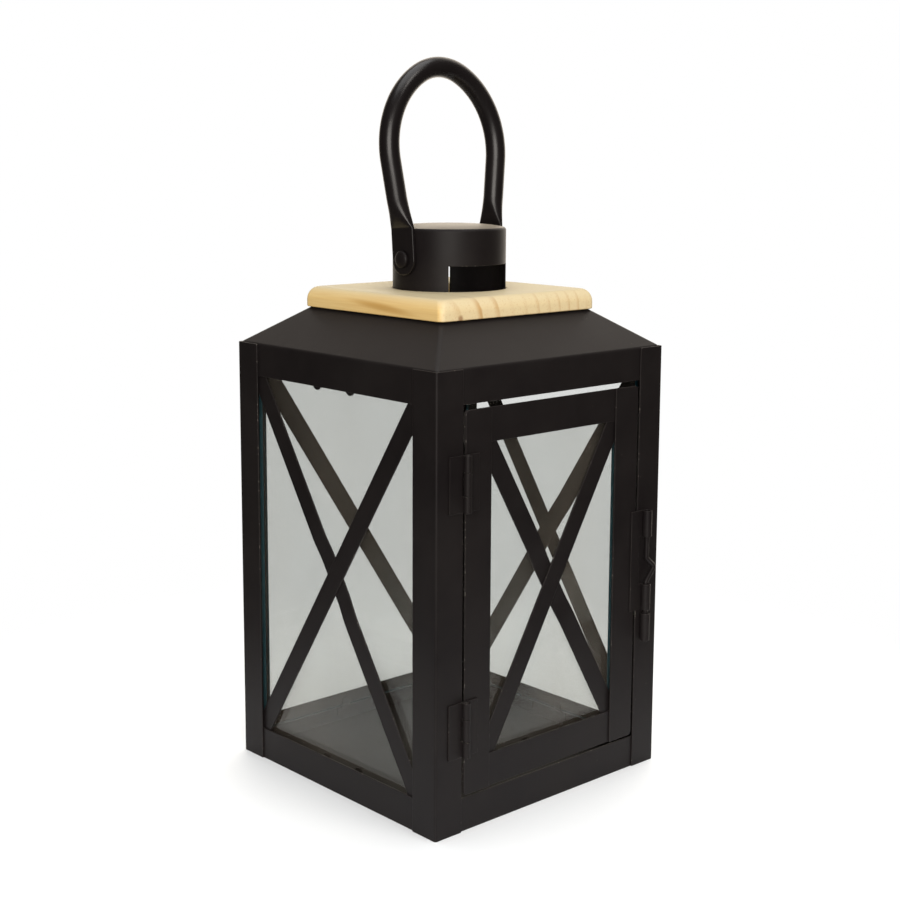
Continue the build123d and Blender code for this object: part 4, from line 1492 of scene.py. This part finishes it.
bail_tube, given = new_tree(
    "bail_tube",
    {
        "Points Along": "Int",
        "Points Around": "Int",
        "Tube Radius": "Float",
        "Strap Half Width": "Float",
        "Strap Half Thickness": "Float",
        "Crease": "Float",
        "Taper": "Float",
        "Across": "Vector",
        "Finish": "Material",
    },
)
line = add_node(bail_tube, "GeometryNodeMeshToCurve", {"Mesh": given["Geometry"]}).outputs[0]
length = add_node(bail_tube, "GeometryNodeCurveLength", {"Curve": line}).outputs[0]
skin = add_node(
    bail_tube,
    "GeometryNodeMeshGrid",
    {"Size X": 1.0, "Size Y": 1.0, "Vertices X": given["Points Along"], "Vertices Y": given["Points Around"]},
).outputs["Mesh"]
spot_on_grid = add_node(bail_tube, "GeometryNodeInputPosition").outputs[0]
grid_xyz = add_node(bail_tube, "ShaderNodeSeparateXYZ", {0: spot_on_grid})
half_turn = calculate(bail_tube, "MULTIPLY", grid_xyz.outputs["X"], math.pi)
crowded = calculate(bail_tube, "SINE", half_turn)
factor = calculate(bail_tube, "MULTIPLY_ADD", crowded, 0.5, 0.5)
on_line = add_node(bail_tube, "GeometryNodeSampleCurve", {"Curves": line, "Factor": factor}, mode="FACTOR")
from_start = calculate(bail_tube, "MULTIPLY", factor, length)
from_end = calculate(bail_tube, "SUBTRACT", length, from_start)
from_tip = calculate(bail_tube, "MINIMUM", from_start, from_end)
taper_end = calculate(bail_tube, "ADD", given["Crease"], given["Taper"])
taper = remap(bail_tube, from_tip, (taper_end, given["Crease"]), (0.0, 1.0))
flatness = calculate(bail_tube, "POWER", taper, PRESS_EASE)
tip_sizes = []
for strap_size in (given["Strap Half Width"], given["Strap Half Thickness"]):
    section_size = remap(bail_tube, flatness, (0.0, 1.0), (given["Tube Radius"], strap_size))
    tip_share = remap(bail_tube, from_tip, (0.0, strap_size), (1.0, 0.0))
    tip_square = calculate(bail_tube, "POWER", tip_share, 2.0)
    tip_rest = calculate(bail_tube, "SUBTRACT", 1.0, tip_square)
    tip_round = calculate(bail_tube, "SQRT", tip_rest)
    tip_size = calculate(bail_tube, "MULTIPLY", section_size, tip_round)
    tip_sizes.append(tip_size)
print("bail tree, place and size:", len(bail_tube.nodes), "nodes")

# %% [markdown]
# The second half goes round the section. Raising sine and cosine to a power below one squares off the pressed
# strap, and a power of one leaves the tube round. The seam of the grid is merged where it meets itself.

# %% The bail's tree: round the section
SEAM_TURN = math.pi / 4
STRAP_SQUARENESS = 0.3
SEAM_MERGE = 0.002

power = remap(bail_tube, flatness, (0.0, 1.0), (1.0, STRAP_SQUARENESS))
round_turn = calculate(bail_tube, "MULTIPLY_ADD", grid_xyz.outputs["Y"], 2 * math.pi, SEAM_TURN)
reaches = []
for wave, tip_size in zip(("COSINE", "SINE"), tip_sizes):
    ratio = calculate(bail_tube, wave, round_turn)
    size = calculate(bail_tube, "ABSOLUTE", ratio)
    squared = calculate(bail_tube, "POWER", size, power)
    sign = calculate(bail_tube, "SIGN", ratio)
    signed = calculate(bail_tube, "MULTIPLY", squared, sign)
    reach = calculate(bail_tube, "MULTIPLY", signed, tip_size)
    reaches.append(reach)
through_strap = add_node(
    bail_tube,
    "ShaderNodeVectorMath",
    {0: on_line.outputs["Tangent"], 1: given["Across"]},
    operation="CROSS_PRODUCT",
).outputs[0]
off_line = []
for direction, reach in zip((given["Across"], through_strap), reaches):
    step_inputs = {0: direction, 3: reach}
    off_line.append(add_node(bail_tube, "ShaderNodeVectorMath", step_inputs, operation="SCALE").outputs[0])
off_line_inputs = {0: off_line[0], 1: off_line[1]}
skin_offset = add_node(bail_tube, "ShaderNodeVectorMath", off_line_inputs, operation="ADD").outputs[0]
skin_place = add_node(
    bail_tube,
    "ShaderNodeVectorMath",
    {0: on_line.outputs["Position"], 1: skin_offset},
    operation="ADD",
).outputs[0]
wrapped = add_node(
    bail_tube,
    "GeometryNodeSetPosition",
    {"Geometry": skin, "Position": skin_place},
).outputs[0]
closed = add_node(
    bail_tube,
    "GeometryNodeMergeByDistance",
    {"Geometry": wrapped, "Distance": SEAM_MERGE},
).outputs[0]
smooth_skin = add_node(bail_tube, "GeometryNodeSetShadeSmooth", {"Geometry": closed}).outputs[0]
close_tree(bail_tube, smooth_skin, given["Finish"])
print("tree:", bail_tube.name, "nodes:", len(bail_tube.nodes))

# %% [markdown]
# The holes for the rivets are drilled through both straps at once, by one long round cutter along the pivot.

# %% The bail
BAIL_POINTS_ALONG = 361
BAIL_POINTS_AROUND = 49
RIVET_RADIUS = 2.5
RIVET_FIT = 0.15
HOLE_SIDES = 48


def cut(working, cutter_form, finish):
    """Cut a shape out of a working object. Gives the cutter, which goes once the cut is made."""
    cutter = working_object("cutter", cutter_form, (finish,))
    removal = working.modifiers.new("cut", "BOOLEAN")
    removal.operation = "DIFFERENCE"
    removal.solver = "EXACT"
    removal.material_mode = "TRANSFER"
    removal.object = cutter
    return cutter


bail = working_object("bail_handle", bail_form, (black_rubbed,))
bail_values = {
    "Points Along": BAIL_POINTS_ALONG,
    "Points Around": BAIL_POINTS_AROUND,
    "Tube Radius": TUBE_RADIUS,
    "Strap Half Width": STRAP_HALF_WIDTH,
    "Strap Half Thickness": STRAP_HALF_THICK,
    "Crease": CREASE_H + STRAP_HALF_WIDTH,
    "Taper": TAPER_H,
    "Across": (0.0, -lean_z, lean_y),
    "Finish": black_rubbed,
}
use_tree(bail, bail_tube, bail_values)
hole = arc((0.0, PIVOT_Z), RIVET_RADIUS + RIVET_FIT, 0, 360, HOLE_SIDES)[:-1]
hole_form = prism(hole, -BAIL_WIDEST_HALF, BAIL_WIDEST_HALF, facing_side)
hole_cutter = cut(bail, hole_form, black_rubbed)
bail_piece = plain_mesh(bail)
bpy.data.objects.remove(hole_cutter)
outward = bmesh.new()
outward.from_mesh(bail_piece.data)
bmesh.ops.recalc_face_normals(outward, faces=outward.faces)
outward.to_mesh(bail_piece.data)
outward.free()
fit(bail_piece, "handle", ("handle",))

# %% [markdown]
# ## Rivets
# The bail turns on two rivets with low round heads, clinched inside the chimney. A rivet is turned work, so a
# profile is spun about its axis, laid down along the pivot and set on both sides by the copying tree.

# %% Rivets
RIVET_SEAT = 30.6
RIVET_HEAD_RADIUS = 4.2
RIVET_HEAD_HEIGHT = 2.2
RIVET_HEAD_RIM = 0.7
RIVET_TAIL = (25.76, 26.96)
RIVET_TAIL_RADIUS = 3.6
RIVET_SIDES = 48
DOME_STEPS = 10

dome_base = RIVET_SEAT + RIVET_HEAD_RIM
dome_rise = RIVET_HEAD_HEIGHT - RIVET_HEAD_RIM
dome_turns = [QUARTER * step / DOME_STEPS for step in range(DOME_STEPS + 1)]
dome = [(RIVET_HEAD_RADIUS * math.cos(t), dome_base + dome_rise * math.sin(t)) for t in dome_turns]
rivet_profile = [
    (0.0, RIVET_TAIL[0]),
    (RIVET_TAIL_RADIUS, RIVET_TAIL[0]),
    (RIVET_TAIL_RADIUS, RIVET_TAIL[1]),
    (RIVET_RADIUS, RIVET_TAIL[1]),
    (RIVET_RADIUS, RIVET_SEAT),
    (RIVET_HEAD_RADIUS, RIVET_SEAT),
    *dome,
]
rivet_form = spun(rivet_profile, RIVET_SIDES)
lie_down = Matrix.Translation((0.0, 0.0, PIVOT_Z)) @ Matrix.Rotation(QUARTER, 4, "Y")
bmesh.ops.transform(rivet_form, matrix=lie_down, verts=rivet_form.verts)
rivets = working_object("bail_rivets", rivet_form, PAINTED)
both_sides = {"Copies": 2, "First Turn": 0.0, "Turn Step": 2 * QUARTER, "Finish": black_coat}
use_tree(rivets, turned_copies, both_sides)
ease_edges(rivets, EDGE_EASE)
fit(plain_mesh(rivets), "frame", ("handle_rivets",))

# %% [markdown]
# ## Screws
# Four wood screws hold board, roof and chimney together from below. The thread is out of sight in the wood,
# so a screw is spun as a plain shank under a round head, and a cross recess is cut into the head before the
# tree sets it round.

# %% Screws
SCREW_CIRCLE = 33.0
SCREW_SEAT = FLANGE_TOP - SHEET
SCREW_HEAD_RADIUS = 3.2
SCREW_HEAD_HEIGHT = 1.8
HEAD_RIM_SHARE = 0.35
HEAD_STEPS = 8
SCREW_SIDES = 32
SCREW_SHANK = 1.5
SCREW_TIP = 240.0
SCREW_POINT = 2.2
RECESS_HALF = 1.7
RECESS_WIDTH_HALF = 0.38
RECESS_DEPTH = 1.0

head_round = []
for step in range(HEAD_STEPS + 1):
    head_turn = QUARTER * step / HEAD_STEPS
    height_share = HEAD_RIM_SHARE + (1 - HEAD_RIM_SHARE) * math.sin(head_turn)
    head_level = SCREW_SEAT - SCREW_HEAD_HEIGHT * height_share
    head_round.append((SCREW_HEAD_RADIUS * math.cos(head_turn), head_level))
screw_profile = [
    (0.0, SCREW_TIP),
    (SCREW_SHANK, SCREW_TIP - SCREW_POINT),
    (SCREW_SHANK, SCREW_SEAT),
    (SCREW_HEAD_RADIUS, SCREW_SEAT),
    *head_round,
]
screw_form = spun(screw_profile, SCREW_SIDES)
bmesh.ops.translate(screw_form, verts=screw_form.verts, vec=(SCREW_CIRCLE, 0.0, 0.0))
screws = working_object("board_screws", screw_form, (zinc,))
recess = []
for quarter in range(4):
    for across, along in ((-1, 0), (-1, 1), (1, 1)):
        corner = Vector((RECESS_WIDTH_HALF * across, RECESS_HALF if along else RECESS_WIDTH_HALF))
        turned = Matrix.Rotation(-QUARTER * quarter, 2) @ corner
        recess.append((SCREW_CIRCLE + turned.x, turned.y))
recess_low = SCREW_SEAT - 2 * SCREW_HEAD_HEIGHT
recess_high = SCREW_SEAT - SCREW_HEAD_HEIGHT + RECESS_DEPTH
recess_cutter = cut(screws, prism(recess, recess_low, recess_high, upright), zinc)
on_diagonals = {"Copies": 4, "First Turn": QUARTER / 2, "Turn Step": QUARTER, "Finish": zinc}
use_tree(screws, turned_copies, on_diagonals)
screw_piece = plain_mesh(screws)
bpy.data.objects.remove(recess_cutter)
fit(screw_piece, "frame", ("top_screws",))

# %% [markdown]
# ## Floor, light and camera
# The lantern stands on a white studio floor, which is there for its shadow. A floor with an edge or a horizon
# would show as a line against the white behind it, so the floor is let through more and more away from the
# lantern: at each point a random draw decides, which reads as a smooth fade. From below it is open, so that
# the underside can be seen. Its white is a little cool, in answer to the warm lamps.

# %% Floor
FLOOR_RADIUS = 6.0
FLOOR_FADE = (0.12, 0.36)
FLOOR_SEGMENTS = 96

floor_form = bmesh.new()
bmesh.ops.create_circle(floor_form, cap_ends=True, segments=FLOOR_SEGMENTS, radius=FLOOR_RADIUS)
floor_mesh = bpy.data.meshes.new("floor")
floor_form.to_mesh(floor_mesh)
floor_form.free()
floor = bpy.data.objects.new("floor", floor_mesh)
bpy.context.scene.collection.objects.link(floor)
floor_finish, tree, shader, place = new_finish("white_studio_floor")
fill(tree, shader, {"Base Color": linear("#f6fafe"), "Roughness": 0.7, "Specular IOR Level": 0.2})
from_middle = add_node(tree, "ShaderNodeVectorMath", {0: place}, operation="LENGTH").outputs["Value"]
fade = remap(tree, from_middle, FLOOR_FADE, (0.0, 1.0), "SMOOTHSTEP")
grain = add_node(tree, "ShaderNodeTexWhiteNoise", {"Vector": place}).outputs["Value"]
thinned = calculate(tree, "GREATER_THAN", fade, grain)
underside = add_node(tree, "ShaderNodeNewGeometry").outputs["Backfacing"]
open_share = calculate(tree, "MAXIMUM", thinned, underside)
open_floor = add_node(tree, "ShaderNodeBsdfTransparent").outputs[0]
soft_edged = add_node(
    tree,
    "ShaderNodeMixShader",
    {0: open_share, 1: shader.outputs[0], 2: open_floor},
).outputs[0]
tree.links.new(soft_edged, tree.nodes["Material Output"].inputs["Surface"])
floor_mesh.materials.append(floor_finish)
print("floor:", floor_finish.name, "gone at", FLOOR_FADE[1], "m from the middle")

# %% [markdown]
# What the camera sees behind the lantern is plain white. The room that lights it and that the black coat
# mirrors is dim and warm, with one bright sweep at the back right, as in a studio where one wall is lit.

# %% Room
BACKDROP_WHITE = 1.0
ROOM_DIM = 0.1
ROOM_BRIGHT = 2.35
SWEEP_DIRECTION = (0.75, 0.65, 0.13)
SWEEP_RANGE = (0.5, 0.97)

world = bpy.data.worlds.new("studio")
world.use_nodes = True
bpy.context.scene.world = world
tree = world.node_tree
toward = add_node(tree, "ShaderNodeTexCoord").outputs["Generated"]
along_sweep = add_node(
    tree,
    "ShaderNodeVectorMath",
    {0: toward, 1: SWEEP_DIRECTION},
    operation="DOT_PRODUCT",
).outputs["Value"]
room = remap(tree, along_sweep, SWEEP_RANGE, (ROOM_DIM, ROOM_BRIGHT), "SMOOTHSTEP")
ray = add_node(tree, "ShaderNodeLightPath").outputs["Is Camera Ray"]
strength = add_node(tree, "ShaderNodeMix", {0: ray, 2: room, 3: BACKDROP_WHITE}).outputs[0]
tree.links.new(strength, tree.nodes["Background"].inputs["Strength"])
tint = mix_colours(tree, ray, linear("#fff3e4"), linear("#ffffff"))
tree.links.new(tint, tree.nodes["Background"].inputs["Color"])
print("room:", world.name, "strength", ROOM_DIM, "to", ROOM_BRIGHT)

# %% [markdown]
# The main light is a large soft lamp behind the camera and a little above it. A small one above the front
# draws the narrow highlights, a faint one lifts the right side, and a very broad sun overhead stands for a
# softly lit ceiling: one lamp up there would throw a shadow with an edge.

# %% Lamps
AIM = Vector((0.0, 0.0, 0.15))
SKY_STRENGTH = 2.05
SKY_SPREAD = math.radians(55)


def softbox(name, place, size, watts, colour):
    """A square area lamp that looks at the lantern."""
    lamp = bpy.data.lights.new(name, "AREA")
    lamp.size = size
    lamp.energy = watts
    lamp.color = linear(colour)[:3]
    holder = bpy.data.objects.new(name, lamp)
    holder.location = place
    holder.rotation_euler = (AIM - Vector(place)).to_track_quat("-Z", "Y").to_euler()
    bpy.context.scene.collection.objects.link(holder)


softbox("key_behind_camera", (-1.04, -1.15, 0.55), size=1.0, watts=28.0, colour="#fff9f2")
softbox("front_above", (0.09, -0.72, 1.29), size=0.32, watts=3.0, colour="#fffaf4")
softbox("right_above", (1.25, 0.1, 1.3), size=0.9, watts=1.0, colour="#fff9f0")
sky = bpy.data.lights.new("overhead_sky", "SUN")
sky.energy = SKY_STRENGTH
sky.angle = SKY_SPREAD
sky_holder = bpy.data.objects.new("overhead_sky", sky)
bpy.context.scene.collection.objects.link(sky_holder)
print("lamps:", [lamp.name for lamp in bpy.data.lights])

# %% [markdown]
# The camera stands where the photograph was taken from. Its place and focal length were fitted to the corners
# of the body, so picture and model can be laid over each other.

# %% Camera
VIEW_AZIMUTH = math.radians(-42.2)
VIEW_ELEVATION = math.radians(8.89)
VIEW_ROLL = math.radians(0.24)
VIEW_AIM_MM = (0.0, 0.0, 150.0)
VIEW_OFFSET_MM = (0.81, 37.87, 782.5)
FOCAL_PIXELS = 1548.0
FRAME_PIXELS = 900.0
SENSOR_MM = 36.0
LENS_RISE = -0.06
NEAREST_SEEN = 0.01

back = Vector(
    (
        math.sin(VIEW_AZIMUTH) * math.cos(VIEW_ELEVATION),
        -math.cos(VIEW_AZIMUTH) * math.cos(VIEW_ELEVATION),
        math.sin(VIEW_ELEVATION),
    )
)
level_right = Vector((math.cos(VIEW_AZIMUTH), math.sin(VIEW_AZIMUTH), 0.0))
level_up = back.cross(level_right)
right = level_right * math.cos(VIEW_ROLL) + level_up * math.sin(VIEW_ROLL)
up = level_up * math.cos(VIEW_ROLL) - level_right * math.sin(VIEW_ROLL)
lens = bpy.data.cameras.new("photo_camera")
lens.sensor_width = SENSOR_MM
lens.lens = FOCAL_PIXELS / FRAME_PIXELS * SENSOR_MM
lens.shift_y = LENS_RISE
lens.clip_start = NEAREST_SEEN
camera = bpy.data.objects.new("photo_camera", lens)
camera_offset = right * VIEW_OFFSET_MM[0] + up * VIEW_OFFSET_MM[1] + back * VIEW_OFFSET_MM[2]
camera_turn = Matrix((right, up, back)).transposed().to_4x4()
camera.matrix_world = Matrix.Translation((Vector(VIEW_AIM_MM) + camera_offset) * MM) @ camera_turn
bpy.context.scene.collection.objects.link(camera)
bpy.context.scene.camera = camera
bpy.context.scene.view_settings.view_transform = "Standard"
print("camera at", [round(value, 3) for value in camera.matrix_world.translation])
